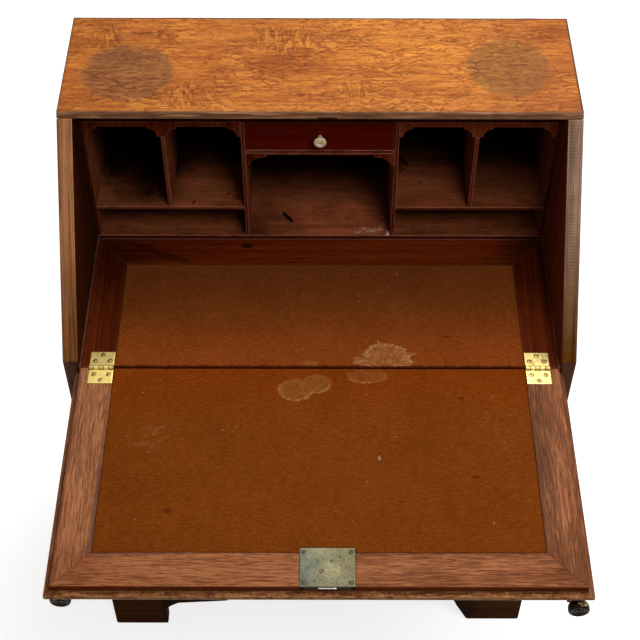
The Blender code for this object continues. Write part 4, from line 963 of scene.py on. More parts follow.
# the mortise in the nose: the bolt's own box, turned up with the closed fall and longer by the bolt's throw
mortise = {"play": 0.0005, "end": 0.0006, "mouth": 0.004, "edge": 0.0003}
boltLow, boltHigh = corners("lock_bolt")
throw = joints["lock_bolt_slide"]["range_m"][1]
pin = np.array([0.0, hingeY, writingZ])
turnedUp = np.array([[1.0, 0.0, 0.0], [0.0, *upSlope], [0.0, *-intoCase]])
play = mortise["play"]
holeLow = (boltLow[0] - play, (noseLow - pin[1:]) @ upSlope - mortise["mouth"], writingZ - boltHigh[2] - play)
holeEnd = hingeY - boltLow[1] + throw + mortise["end"]
hole = boardShape(holeLow, (boltHigh[0] + play, holeEnd, writingZ - boltLow[2] + play), mortise["edge"])
cutOut(top, (hole[0] @ turnedUp + pin, hole[1]), 1)

sideSize = {"edge": 0.0011, "radii": (0.001, 0.001, 0.001, 0.001, 0.0006, 0.0012)}
sideNose = noseLow - upSlope * fit
underTop = topLow[2] - fit
for hand, sign in hands:
    low, high = corners(hand + "_side")
    foot = sideNose[1] - (sideNose[0] - low[1]) * math.tan(slope)
    outline = [(low[1], low[2]), (high[1], low[2]), (high[1], underTop)]
    outline += [downInto(sideNose, underTop), sideNose, (low[1], foot)]
    outline = roundedOutline(outline, sideSize["radii"])
    inner = (0, 1) if sign < 0 else (1, 0)
    shape = carve(outline, "x", (low[0], high[0]), sideSize["edge"], (0, 0, 0, 2, 2, 3), inner)
    finishes = [sideOak, insideShadedWood, slopeSheenEdge[hand], sideFrontShaded]
    makePiece(hand + "_side_board", shape, finishes, "carcase", "oak", [hand + "_side"])

backPlanks = {"count": 5, "gap": 0.0006, "edge": 0.0012, "lap": 0.004}
low, high = corners("back_panel")
cuts = np.linspace(low[0], high[0], backPlanks["count"] + 1)
middle = (low[1] + high[1]) / 2
gap = backPlanks["gap"] / 2
for number, (first, last) in enumerate(zip(cuts, cuts[1:])):
    left, right = first + gap, last - gap
    lapLeft = left + backPlanks["lap"] * (number > 0)
    lapRight = right + backPlanks["lap"] * (number + 1 < backPlanks["count"])
    outline = [(left, low[1]), (right, low[1]), (right, middle + gap), (lapRight, middle + gap)]
    outline += [(lapRight, high[1]), (lapLeft, high[1]), (lapLeft, middle - gap), (left, middle - gap)]
    outline = roundedOutline(outline, backPlanks["edge"] / 4, 0.0006)
    flats = [1] + [0] * (len(outline["corners"]) - 1)
    shape = carve(outline, "z", (low[2], high[2]), backPlanks["edge"] / 2, flats)
    name = "back_plank_%d" % (number + 1)
    makePiece(name, shape, [backWood, insideShadedWood], "carcase", "lining", ["back_panel"])

railEdge = 0.0012
plank("bottom_board", frontOak, "carcase", "oak")
for node in ("drawer_divider_lower", "drawer_divider_middle", "frieze_rail"):
    plank(node, frontOak, "carcase", "oak", railEdge)

fence = {"gap": 0.0008, "thickness": 0.014, "front": 0.0203, "edge": 0.0008}
low, high = corners("drawer_divider_upper")
dividerLow, dividerHigh = corners("drawer_divider_middle")
boardTop = low[2] + dividerHigh[2] - dividerLow[2]
shapes = [boardShape(low, (high[0], high[1], boardTop), railEdge)]
for hand, sign in hands:
    loperLow, loperHigh = corners(hand + "_loper")
    face = loperHigh[0] + fence["gap"] if sign < 0 else loperLow[0] - fence["gap"]
    across = sorted((face, face - sign * fence["thickness"]))
    fenceLow = (across[0], low[1] + fence["front"], boardTop)
    shapes.append(boardShape(fenceLow, (across[1], high[1], high[2]), fence["edge"]))
node = "drawer_divider_upper"
makePiece(node + "_board", joined(shapes), [frontOak], "carcase", "oak", [node])
print("carcase made")


mouldWear = 0.35


# a profile of (out, up) points carried along a path, with mitred corners
def mould(path, profile, closed, axis):
    path, profile = np.asarray(path, float), np.asarray(profile, float)
    step = unit(np.roll(path, -1, 0) - path)
    before = np.roll(step, 1, 0)
    if not closed:
        step[-1] = step[-2]
        before[0] = step[0]
    normal, normalBefore = (np.stack([run[:, 1], -run[:, 0]], 1) for run in (step, before))
    mitre = unit(normal + normalBefore)
    mitre = mitre / (mitre * normal).sum(1, keepdims=True)
    ring = path[:, None] + mitre[:, None] * profile[None, :, :1]
    lift = np.broadcast_to(profile[None, :, 1:], ring.shape[:2] + (1,))
    index = np.arange(len(path) * len(profile)).reshape(len(path), -1)
    faces = gridFaces(index, closed).tolist()
    if not closed:
        faces += [index[0][::-1].tolist(), index[-1].tolist()]
    return evenShape(standing(np.concatenate([ring, lift], 2), axis), faces, mouldWear)


# base: a moulding with a cove on top, and four bracket feet, each of two boards mitred at the corner
cove = {"inset": 0.0003, "flat": 0.011, "steps": 8, "lip": 0.0014, "arris": 0.0008}
low, high = corners("base_moulding")
caseLow, caseHigh = corners("left_side")[0], corners("right_side")[1]
out = caseLow[0] - low[0]
height = high[2] - low[2]
turn = np.linspace(0, np.pi / 2, cove["steps"])
hollowOut = out - (out - cove["lip"]) * np.sin(turn)
hollowUp = cove["flat"] + (height - cove["flat"]) * (1 - np.cos(turn))
foot = [(cove["inset"], 0.0), (out - cove["arris"], 0.0), (out, cove["arris"])]
profile = np.r_[foot, np.stack([hollowOut, hollowUp], 1), [(cove["inset"], height)]] + (0.0, low[2])
path = [(caseLow[0], high[1]), (caseLow[0], caseLow[1]), (caseHigh[0], caseLow[1]), (caseHigh[0], high[1])]
shape = mould(path, profile, False, "z")
makePiece("base_moulding_run", shape, [footOak], "carcase", "dark_oak", ["base_moulding"], weld=True)

bracket = {
    "face": 0.098,
    "rake": {"left": 0.0, "right": 0.024},
    "rakeShare": 0.4,
    "straight": 0.056,
    "shoulder": (0.1225, 0.078),
    "tip": 0.087,
    "thickness": 0.020,
    "radius": 0.0004,
    "corner": 0.008,
    "wingEnd": 0.011,
    "edge": 0.0006,
    "mitre": 0.0001,
    "steps": 5,
    "bow": 0.0015,
}
glueBlock = {"reach": 0.070, "depth": 0.040, "gap": 0.0004, "short": 0.002, "corner": 0.002}
# these stand a little askew
footShift = {"front_right_foot": (-0.005, 0.006), "front_left_foot": (0.0, -0.004)}


# across from the corner, and up: the inner edge, upright or raked, a hollow slant to the shoulder and a
# thin wing
def bracketOutline(width, top, hand):
    t = np.linspace(0, 1, bracket["steps"])[:, None]
    rake = bracket["rake"][hand]
    knee = np.array([bracket["face"] + rake, bracket["straight"]])
    shoulder = np.array(bracket["shoulder"]) + (rake * bracket["rakeShare"], 0.0)
    run = unit(shoulder - knee)
    slant = knee + t * (shoulder - knee) + bracket["bow"] * np.sin(np.pi * t) * (-run[1], run[0])
    wing = [(width, bracket["tip"]), (width, top), (0.0, top)]
    points = np.r_[[(0.0, 0.0), (bracket["face"], 0.0)], slant, wing]
    radius = np.full(len(points), bracket["radius"])
    radius[:2] = bracket["corner"]
    radius[-3] = bracket["wingEnd"]
    return points, radius


for end, inward in (("front", 1), ("rear", -1)):
    for hand, sign in hands:
        node = end + "_" + hand + "_foot"
        low, high = corners(node)
        shift = footShift.get(node, (0.0, 0.0))
        cornerX = (low[0] if sign < 0 else high[0]) + shift[0]
        cornerY = (low[1] if inward > 0 else high[1]) + shift[1]
        points, radius = bracketOutline(high[0] - low[0], high[2] - low[2], hand)
        thick = bracket["thickness"]
        shapes = []
        for axis, corner, away, otherCorner, otherAway in (
            ("y", cornerX, -sign, cornerY, inward),
            ("x", cornerY, inward, cornerX, -sign),
        ):
            flat = np.stack([corner + away * points[:, 0], low[2] + points[:, 1]], 1)
            outline = roundedOutline(flat[::away], radius[::away], bracket["edge"])
            span = sorted((otherCorner, otherCorner + otherAway * thick))
            part = carve(outline, axis, span, bracket["edge"])
            column, otherColumn = (0, 1) if axis == "y" else (1, 0)
            depth = (part[0][:, otherColumn] - otherCorner) * otherAway
            reach = (part[0][:, column] - corner) * away
            part[0][:, column] = corner + away * np.maximum(reach, depth + bracket["mitre"])
            shapes.append(part)
        makePiece(node + "_bracket", joined(shapes), [bracketOak], "carcase", "dark_oak", [node])
        near = thick + glueBlock["gap"]  # a block glued into the corner behind the brackets
        far = near + glueBlock["depth"]
        across = sorted((cornerX - sign * near, cornerX - sign * glueBlock["reach"]))
        deep = sorted((cornerY + inward * near, cornerY + inward * far))
        blockLow = (across[0], deep[0], low[2] + glueBlock["short"])
        shape = boardShape(blockLow, (across[1], deep[1], high[2] - glueBlock["gap"]), glueBlock["corner"])
        makePiece(node + "_glue_block", shape, [shadedBlockWood], "carcase", "dark_oak")
print("base made")


# writing bed: a core board with mitred stiles and a back rail on it, round the leather
frameWork = {"edge": 0.0004, "mitre": 0.00006, "groove": 0.0047, "hingeEnd": 0.0366, "top": 0.0087}


# a plan drawn for the right hand, turned over for the left one, with the finishes of its flats
def facing(name, plan, bottom, finishes, piece, sign=1, flats=None):
    plan = np.array(plan) * (sign, 1)
    if sign < 0:
        plan = plan[::-1]
        flats = flats and np.roll(flats[::-1], -1)
    shape = carve(roundedOutline(plan, frameWork["mitre"]), "z", (bottom, writingZ), frameWork["edge"], flats)
    makePiece(name, shape, finishes, *piece)


bedLow, bedHigh = corners("bed_panel")
leatherLow, leatherHigh = corners("bed_leather")
nestFront = corners("nest_base")[0][1]
facingLow = writingZ - frameWork["top"]
bedPiece = ("carcase", "mahogany", ["bed_panel"])
makePiece("bed_core", boardShape(bedLow, (bedHigh[0], bedHigh[1], facingLow - fit)), [bedRail], *bedPiece)
windowHalf = leatherHigh[0] + fit
windowBack = leatherHigh[1] + fit
hingeOuter = windowHalf + frameWork["hingeEnd"]
groove = hingeY + frameWork["groove"]
plan = [(windowHalf, groove), (hingeOuter, groove), (hingeOuter, bedLow[1]), (bedHigh[0], bedLow[1])]
plan += [(bedHigh[0], nestFront), (windowHalf, windowBack)]
for hand, sign in hands:
    facing(hand + "_bed_stile", plan, facingLow, [bedStile], bedPiece, sign)
gap = frameWork["mitre"]
plan = [(-windowHalf, windowBack + gap), (windowHalf, windowBack + gap), (bedHigh[0], nestFront + gap)]
plan += [(bedHigh[0], bedHigh[1]), (-bedHigh[0], bedHigh[1]), (-bedHigh[0], nestFront + gap)]
facing("bed_back_rail", plan, facingLow, [bedRail], bedPiece)

# fall: a lipped panel with a thumb-rounded show face, and a mitred facing frame that leaves room for the lock
fallEdge = {"show": 0.0045, "lip": 0.0013, "corner": 0.0016}
panelLow, panelHigh = corners("fall_panel")
frameLow, frameHigh = corners("fall_frame")
skinLow, skinHigh = corners("fall_leather")
lockLow, lockHigh = corners("lock_case")
lipTop = frameLow[2] - fit
rim = roundedOutline(rectangle(panelLow[:2], panelHigh[:2]), fallEdge["corner"])
shapes = [carve(rim, "z", (panelLow[2], lipTop), (fallEdge["show"], fallEdge["lip"]), endFaces=(1, 0))]
shapes.append(boardShape((skinLow[0], skinLow[1], lipTop), (skinHigh[0], skinHigh[1], skinLow[2] - fit)))
makePiece("fall_lipped_panel", joined(shapes), [fallLip, fallShow], "fall", "fall_wood", ["fall_panel"])

windowFront = skinLow[1] - fit
groove = hingeY - frameWork["groove"]
framePiece = ("fall", "fall_wood", ["fall_frame"])
for hand, sign in hands:
    plan = [(windowHalf, windowFront), (frameHigh[0], frameLow[1]), (frameHigh[0], frameHigh[1])]
    plan += [(hingeOuter, frameHigh[1]), (hingeOuter, groove), (windowHalf, groove)]
    flats = [0, 1, 0, 0, 0, 0]  # the outer edge stands in the rebate
    facing(hand + "_fall_stile", plan, frameLow[2], [fallStile, rebate], framePiece, sign, flats)
    lockEdge = fit - lockLow[0] if sign < 0 else lockHigh[0] + fit
    plan = [(lockEdge, frameLow[1]), (frameHigh[0] - gap, frameLow[1])]
    plan += [(windowHalf, windowFront - gap), (lockEdge, windowFront - gap)]
    facing(hand + "_fall_rail", plan, frameLow[2], [fallRail, rebate], framePiece, sign, [1, 0, 0, 0])
print("bed and fall made")


# leather: a grid laid in its window, a little uneven, its edge rolled down along the joint by a wavy amount
sheetSize = {"step": 0.0035, "sink": 0.0005, "wave": 0.00022, "roll": 0.0011, "rollWidth": 0.0021,
             "thickness": 0.001, "rim": 0.0008, "joint": (0.0036, 0.0008), "nearEdge": (0.0004, 0.006, 9)}
sheetWaves = ((31, 17, 0.4, 1.0), (-23, 41, 1.9, 1.0), (83, 57, 0.0, 0.6))  # across, along, start and share


def insideBy(x, y, low, high):  # how far a point is from the nearest edge
    return np.minimum(np.minimum(x - low[0], high[0] - x), np.minimum(y - low[1], high[1] - y))


def layLeather(name, low, high, hingeSide, body, node, notch=None):
    nearEdge = np.geomspace(*sheetSize["nearEdge"])
    lines = []
    for axis in (0, 1):
        line = np.linspace(low[axis], high[axis], int((high[axis] - low[axis]) / sheetSize["step"]))
        line = np.r_[line, low[axis] + nearEdge, high[axis] - nearEdge]
        lines.append(np.unique(np.r_[line, notch[axis]] if notch else line))
    xs, ys = lines
    x, y = np.meshgrid(xs, ys, indexing="ij")
    waves = sum(share * np.sin(u * x + v * y + start) for u, v, start, share in sheetWaves)
    fromHinge = np.abs(y - (low[1] if hingeSide < 0 else high[1]))
    ripple = 1 + 0.22 * np.sin(210 * x) * np.sin(67 * x + 1) + 0.14 * np.sin(540 * x + 2)
    rolled = np.exp(-fromHinge / (sheetSize["rollWidth"] * ripple * 0.5))
    z = writingZ - sheetSize["sink"] + sheetSize["wave"] * waves / 2 - sheetSize["roll"] * rolled
    faces = gridFaces(np.arange(x.size).reshape(x.shape), closedColumns=False, flip=True)
    if notch:
        middleX = ((xs[:-1] + xs[1:]) / 2)[:, None]
        middleY = ((ys[:-1] + ys[1:]) / 2)[None]
        inside = (middleX > notch[0][0]) & (middleX < notch[0][1]) & (middleY < notch[1])
        faces = faces[~inside.ravel()]
    rim = np.exp(-insideBy(x, y, low, high) / sheetSize["rim"])
    rim = np.maximum(rim, 1 / (1 + (fromHinge / (sheetSize["joint"][hingeSide > 0] * ripple)) ** 8))
    shape = evenShape(np.stack([x, y, z], -1), faces.tolist(), rim.ravel())
    piece = makePiece(name, shape, [leather], body, "leather", [node], softSharp)
    work = bmesh.new()
    work.from_mesh(piece.data)
    loose = [vertex for vertex in work.verts if not vertex.link_faces]
    bmesh.ops.delete(work, geom=loose, context="VERTS")
    work.to_mesh(piece.data)
    work.free()
    thicken = piece.modifiers.new("thickness", "SOLIDIFY")
    thicken.thickness = sheetSize["thickness"]
    thicken.offset = -1.0
    return piece


bedSkin = layLeather("bed_leather_sheet", leatherLow, leatherHigh, -1, "carcase", "bed_leather")
lockGap = 0.0004
lockNotch = (np.array([lockLow[0] - lockGap, lockHigh[0] + lockGap]), lockHigh[1] + lockGap)
fallSkin = layLeather("fall_leather_sheet", skinLow, skinHigh, 1, "fall", "fall_leather", lockNotch)
print("leather laid")


# a turned piece: (radius, height) points spun about an axis through a centre, pointing along a direction
def turned(profile, centre, axis, direction, steps=40):
    profile = np.asarray(profile, float)
    angle = np.linspace(0, 2 * np.pi, steps, endpoint=False)
    first = profile[:, :1] * np.cos(angle)[None]
    second = profile[:, :1] * np.sin(angle)[None]
    up = np.broadcast_to(direction * profile[:, 1:], first.shape)
    verts = standing(np.stack([first, second, up], -1), axis) + np.asarray(centre)
    return evenShape(verts, gridFaces(np.arange(first.size).reshape(first.shape)).tolist())


# a smooth line through a few points, by the four-point spline
def smoothLine(points, steps):
    p = np.asarray(points, float)
    p = np.r_[[2 * p[0] - p[1]], p, [2 * p[-1] - p[-2]]]
    t = np.linspace(0, 1, steps, endpoint=False)[None, :, None]
    a, b, c, d = (p[k:len(p) - 3 + k, None] for k in range(4))
    line = b + t / 2 * (c - a + t * (2 * a - 5 * b + 4 * c - d + t * (3 * (b - c) + d - a)))
    return np.r_[line.reshape(-1, 2), p[-2:-1]]


# knob face and body as shares of radius and length, from the middle of the face round to the wood
knobFuller = 1.06
knobLine = {
    "face": [(0.0, 0.97), (0.12, 0.975), (0.19, 0.945), (0.26, 0.925), (0.33, 0.965), (0.43, 0.975),
             (0.51, 0.93), (0.58, 0.945), (0.68, 0.985), (0.80, 0.985)],
    "rim": [(0.90, 0.965), (0.97, 0.92), (1.0, 0.84), (1.0, 0.72), (0.97, 0.60), (0.90, 0.51)],
    "stem": [(0.74, 0.44), (0.56, 0.38), (0.46, 0.31), (0.43, 0.24), (0.48, 0.17)],
    "collar": [(0.60, 0.13), (0.66, 0.08), (0.66, 0.03), (0.62, 0.0)],
}
knobEnd = [(0.0, 0.0)]


def knobBox(node):  # its radius and length, and the middle of its foot
    low, high = corners(node)
    foot = ((low[0] + high[0]) / 2, high[1], (low[2] + high[2]) / 2)
    return np.array([(high[0] - low[0]) / 2, high[1] - low[1]]), foot


def turnedKnob(node, body):
    size, foot = knobBox(node)
    profile = np.r_[smoothLine(sum(knobLine.values(), []), 4), knobEnd] * (size * (knobFuller, 1.0))
    shape = turned(profile, foot, "y", -1)
    makePiece(node + "_turning", shape, [bronze], body, "bronze", [node], softSharp, True)


for hand in ("left", "right"):
    plank(hand + "_loper", loperWood, hand + "_support", "fall_wood", railEdge)
    turnedKnob(hand + "_loper_knob", hand + "_support")
print("lopers made")

# pigeonhole nest: thin boards with rounded fronts, and fretted valances
nestWork = {"shelfEdge": 0.0011, "corner": 0.0007, "edge": 0.001}
for node in ("nest_base", "nest_left_shelf", "nest_right_shelf", "nest_drawer_shelf"):
    plank(node, nestFlat, "carcase", "mahogany", nestWork["shelfEdge"], nestEdgeWornAndHighlit)
nestTop = {"board": 0.006, "rail": 0.008, "corner": 0.0008, "band": 0.0015}
low, high = corners("nest_top")
underRail = low[2] - fit
railBack, underBoard = low[1] + nestTop["rail"], high[2] - nestTop["board"]
outline = [(low[1], low[2]), (railBack, low[2]), (railBack, underBoard), (high[1], underBoard)]
outline += [(high[1], high[2]), (low[1], high[2])]
shape = carve(roundedOutline(outline, nestTop["corner"], nestTop["band"]), "x", (low[0], high[0]))
makePiece("nest_top_board", shape, [nestShaded], "carcase", "mahogany", ["nest_top"])

for hand in ("left", "right"):
    for kind in ("end", "centre_divider", "divider"):
        node = "nest_" + hand + "_" + kind
        low, high = corners(node)
        notchY = low[1] + nestTop["rail"] + fit
        outline = [(low[1], low[2]), (high[1], low[2]), (high[1], high[2])]
        outline += [(notchY, high[2]), (notchY, underRail)]
        if kind == "divider":
            valanceLow, valanceHigh = corners(hand + "_valance")
            frontY, underFret = valanceHigh[1] + fit, valanceLow[2] - fit
            outline += [(frontY, underRail), (frontY, underFret), (low[1], underFret)]
        else:
            outline.append((low[1], underRail))
        flats = [0] * (len(outline) - 1) + [1]
        outline = roundedOutline(outline, nestWork["corner"])
        shape = carve(outline, "x", (low[0], high[0]), nestWork["edge"], flats)
        finishes = [nestUpright, nestShaded if kind == "end" else nestEdgeWornAndHighlit]
        makePiece(node + "_board", shape, finishes, "carcase", "mahogany", [node])

valance = {"tip": 0.0045, "cusp": 0.0042, "steps": 8, "corner": (0.0002, 0.0004, 2), "edge": 0.0008}
valanceSizes = {
    "left_valance": {"drop": 0.020, "width": 0.018},
    "right_valance": {"drop": 0.020, "width": 0.018},
    "centre_valance": {"drop": 0.021, "width": 0.030},
}


# over each bay a flat arch between two cusped brackets
def fretted(spans, low, drop, width):
    rise = drop - valance["cusp"]
    curve = width - valance["tip"]
    turn = np.linspace(np.pi, np.pi / 2, valance["steps"])
    swell = np.stack([curve * np.cos(turn), rise * np.sin(turn)], 1)
    edge = []
    for left, right in spans:
        edge += [np.array([(left, low)]), swell + (left + width, low)]
        edge += [np.array([(left + width, low + drop), (right - width, low + drop)])]
        edge += [(swell * (-1, 1))[::-1] + (right - width, low), np.array([(right, low)])]
    return np.concatenate(edge)


for node, size in valanceSizes.items():
    low, high = corners(node)
    spans = [(low[0], high[0])]
    if node != "centre_valance":
        dividerLow, dividerHigh = corners("nest_" + node.split("_")[0] + "_divider")
        spans = [(low[0], dividerLow[0]), (dividerHigh[0], high[0])]
    points = np.r_[fretted(spans, low[2], **size), [(high[0], high[2]), (low[0], high[2])]]
    outline = roundedOutline(points, *valance["corner"])
    shape = carve(outline, "y", (low[1], high[1]), valance["edge"])
    makePiece(node + "_fret", shape, [nestEdgeWornAndHighlit], "carcase", "mahogany", [node])
print("nest made")


# drawers: a front, a box of five boards and, on the long ones, a bead round the front
longDrawer = {"front": 0.001, "wall": 0.010, "floor": 0.007}
smallDrawer = {"front": 0.0008, "wall": 0.005, "floor": 0.004}
boxWork = {"gap": 0.0002, "floorEdge": 0.0006}


def drawerBoards(body, finish, slot, size):
    plank(body + "_front", finish, body, slot, size["front"])
    node = body + "_box"
    low, high = corners(node)
    gap, wall, floor = boxWork["gap"], size["wall"], size["floor"]
    inside = (low[0] + wall + gap, high[0] - wall - gap)
    shapes = [boardShape(low, (high[0], high[1], low[2] + floor), boxWork["floorEdge"])]
    for x, y in (
        ((low[0], low[0] + wall), (low[1], high[1])),
        ((high[0] - wall, high[0]), (low[1], high[1])),
        (inside, (low[1], low[1] + wall)),
        (inside, (high[1] - wall, high[1])),
    ):
        shapes.append(boardShape((x[0], y[0], low[2] + floor + gap), (x[1], y[1], high[2])))
    makePiece(node + "_boards", joined(shapes), [liningWood], body, "lining", [node])


bead = {"width": 0.0032, "proud": 0.0018, "foot": 0.0006, "in": 0.0004, "steps": 7}
turn = np.linspace(0, np.pi, bead["steps"])
half = bead["width"] / 2
beadRound = np.stack([-half + half * np.cos(turn), -bead["proud"] * np.sin(turn)], 1)
beadRound = np.r_[[(0.0, bead["foot"])], beadRound, [(-bead["width"], bead["foot"])]]
for name in ("upper", "middle", "lower"):
    body = name + "_drawer"
    drawerBoards(body, frontOak, "oak", longDrawer)
    low, high = corners(body + "_front")
    path = rectangle((low[0], low[2]), (high[0], high[2]))
    shape = mould(path, beadRound + (-bead["in"], low[1]), True, "y")
    makePiece(body + "_bead", shape, [footOak], body, "dark_oak", weld=True)
    for hand in ("left", "right"):
        turnedKnob(body + "_" + hand + "_knob", body)

drawerBoards("small_drawer", drawerRed, "mahogany", smallDrawer)

boneKnob = {
    "slim": (0.94, 0.92),
    "line": [(0.0, 0.88), (0.22, 0.88), (0.36, 0.885), (0.42, 0.94), (0.52, 0.985), (0.66, 1.0), (0.84, 0.97),
             (0.97, 0.90), (1.0, 0.82), (0.95, 0.72), (0.83, 0.60), (0.67, 0.46), (0.51, 0.31), (0.39, 0.16),
             (0.33, 0.0)],
    "pin": [(0.0, 0.95), (0.12, 0.945), (0.22, 0.92), (0.29, 0.885), (0.31, 0.862)],
    "pinEnd": [(0.31, 0.80), (0.0, 0.80)],
    "pinSteps": 24,
}
size, foot = knobBox("small_drawer_knob")
size = size * boneKnob["slim"]
shape = turned(np.r_[smoothLine(boneKnob["line"], 5), knobEnd] * size, foot, "y", -1)
makePiece("small_drawer_knob_turning", shape, [bone], "small_drawer", "bone", ["small_drawer_knob"],
          softSharp, True)
profile = np.r_[smoothLine(boneKnob["pin"], 4), boneKnob["pinEnd"]] * size
shape = turned(profile, foot, "y", -1, boneKnob["pinSteps"])
makePiece("small_drawer_knob_pin", shape, [brass], "small_drawer", "brass", weld=True)
print("drawers made")


# a metal plate as a height field on a fine grid, with an upright rim, worn at its edge, and a flat back
def plateShape(low, high, step, dish):
    xs, ys = (np.linspace(low[axis], high[axis], int((high[axis] - low[axis]) / step)) for axis in (0, 1))
    x, y = np.meshgrid(xs, ys, indexing="ij")
    z = high[2] + dish(x, y) - plateRim["drop"] * np.exp(-insideBy(x, y, low, high) / plateRim["width"])
    x, y = np.pad(x, 1, mode="edge"), np.pad(y, 1, mode="edge")
    z = np.pad(z, 1, constant_values=low[2])
    index = np.arange(x.size).reshape(x.shape)
    loop = np.r_[index[0], index[1:, -1], index[-1, -2::-1], index[-2:0:-1, 0]]
    faces = gridFaces(index, closedColumns=False, flip=True).tolist()
    return evenShape(np.stack([x, y, z], -1), faces + [loop.tolist()])


def dip(away, radius, most, steep=1.0):  # a sunk cone, by the distance from its middle
    return np.clip((away - radius) * steep, -most, 0)


def nearest(x, y, places):
    return np.min([np.hypot(x - px, y - py) for px, py in places], axis=0)


plateRim = {"drop": 0.00025, "width": 0.00035}
screwLook = {"slot": 0.0007, "slotDepth": 0.0007, "crown": 0.00025, "sink": 0.0002, "seat": 0.0016,
             "rows": 15, "strips": 8}


# a slotted head: strips across the slot by rows along it, drawn in to a circle, closed underneath
def screwHead(x, y, top, turnBy, radius):
    half = screwLook["slot"] / 2
    side = np.linspace(half, radius, screwLook["strips"])
    s = np.r_[-side[::-1], -half, 0.0, half, side]
    low = np.r_[side * 0, np.ones(3), side * 0] * screwLook["slotDepth"]
    t = np.linspace(-1, 1, screwLook["rows"])
    chord = np.sqrt(np.maximum(radius * radius - s * s, 0))[:, None]
    u = np.broadcast_to(s[:, None], (len(s), len(t)))
    v = chord * t[None]
    crown = screwLook["crown"] * (1 - (u * u + v * v) / (radius * radius))
    z = top - screwLook["sink"] + crown - low[:, None]
    base = np.full_like(z, top - screwLook["seat"])
    u, v, z = (np.concatenate(pair, 1) for pair in ((u, u[:, ::-1]), (v, v[:, ::-1]), (z, base[:, ::-1])))
    cosine, sine = math.cos(turnBy), math.sin(turnBy)
    verts = np.stack([x + u * cosine - v * sine, y + u * sine + v * cosine, z], -1)
    return evenShape(verts, gridFaces(np.arange(z.size).reshape(z.shape), flip=True).tolist())


def screwHeads(name, places, turns, top, radius, finish, body, slot):
    heads = [screwHead(*place, top, turn, radius) for place, turn in zip(places, turns)]
    makePiece(name, joined(heads), [finish], body, slot, (), metalSharp, True)


# hinges: dished plates with countersunk screws, and knuckles that take turns along the pin
hingeParts = {"step": 0.0004, "proud": 0.0002, "thickness": 0.0014, "countersink": 0.0038, "depth": 0.0013,
              "knuckles": 5, "gap": 0.00035, "off": 0.0006, "screw": 0.0030, "turns": (1.3, 0.2, 2.4),
              "steps": 28}
tongue = {"in": 0.0002, "low": 0.0013, "high": 0.0001, "edge": 0.0002}
knuckleLine = np.array([(0.0, 0.0), (0.88, 0.0), (1.0, 0.06), (1.0, 0.94), (0.88, 1.0), (0.0, 1.0)])
leaves = (
    {"part": "bed", "toBack": 1, "body": "carcase", "finish": dullBrass, "first": 0,
     "screws": [(0.5, 0.76), (0.2, 0.34), (0.8, 0.34)]},
    {"part": "fall", "toBack": -1, "body": "fall", "finish": brass, "first": 1,
     "screws": [(0.22, 0.34), (0.8, 0.34), (0.5, 0.76)]},
)
for hand in ("left", "right"):
    pinLow, pinHigh = corners(hand + "_hinge_pin")
    pitch = (pinHigh[0] - pinLow[0]) / hingeParts["knuckles"]
    width = pitch - hingeParts["gap"]
    for leaf in leaves:
        node = hand + "_hinge_" + leaf["part"] + "_leaf"
        low, high = corners(node)
        knuckle = high[2] - writingZ
        edge = hingeY + leaf["toBack"] * (knuckle + hingeParts["off"])
        farEdge = high[1] if leaf["toBack"] > 0 else low[1]
        face = writingZ + hingeParts["proud"]
        plateLow = np.array([low[0], min(edge, farEdge), writingZ - hingeParts["thickness"]])
        plateHigh = np.array([high[0], max(edge, farEdge), face])
        places = [(low[0] + u * (high[0] - low[0]), edge + v * (farEdge - edge)) for u, v in leaf["screws"]]

        def dish(x, y, places=places):
            return dip(nearest(x, y, places), hingeParts["countersink"], hingeParts["depth"])

        shapes = [plateShape(plateLow, plateHigh, hingeParts["step"], dish)]
        for number in range(leaf["first"], hingeParts["knuckles"], 2):
            centre = (pinLow[0] + number * pitch + hingeParts["gap"] / 2, hingeY, writingZ)
            shapes.append(turned(knuckleLine * (knuckle, width), centre, "x", 1, hingeParts["steps"]))
            tongueLow = (centre[0] + tongue["in"], min(hingeY, edge), writingZ - tongue["low"])
            tongueBack = max(hingeY, edge) + tongue["in"]
            tongueHigh = (centre[0] + width - tongue["in"], tongueBack, writingZ - tongue["high"])
            shapes.append(boardShape(tongueLow, tongueHigh, tongue["edge"]))
        makePiece(node + "_plate", joined(shapes), [leaf["finish"]], leaf["body"], "brass", [node],
                  metalSharp, True)
        screwHeads(node + "_screws", places, hingeParts["turns"], face, hingeParts["screw"], screwBrass,
                   leaf["body"], "brass")
    pinMaterials = frame["nodes"][hand + "_hinge_pin"].data.materials
    pinMaterials.clear()
    pinMaterials.append(brass)

# lock: plate with corner screws, the drill pin's ring, small holes, the case behind it and the bolt
lockParts = {"step": 0.0006, "proud": 0.0001, "plate": 0.002, "screwIn": (0.0054, 0.0062), "screw": 0.0026,
             "countersink": 0.0032, "sunk": 0.0012, "turns": (0.4, 1.9, 1.1, 2.7), "caseIn": 0.006,
             "caseGap": 0.0001, "boltGap": 0.0004, "boltEdge": 0.0005, "edge": 0.0003, "sharp": 35.0}
lockHoles = [
    {"at": (0.0157, -0.322), "radius": 0.0016, "depth": 0.0012},
    {"at": (0.0274, -0.315), "radius": 0.0011, "depth": 0.0012},
    {"at": (-0.0065, -0.351), "radius": 0.0011, "depth": 0.0012},
]
keyX, keyY = 0.0028, -0.337
holeSteep = 3
drillPin = {"radius": 0.0024, "groove": 0.0007, "depth": 0.0007, "steep": 2}
inX, inY = lockParts["screwIn"]
lockScrews = [(x, y) for x in (lockLow[0] + inX, lockHigh[0] - inX)
              for y in (lockLow[1] + inY, lockHigh[1] - inY)]


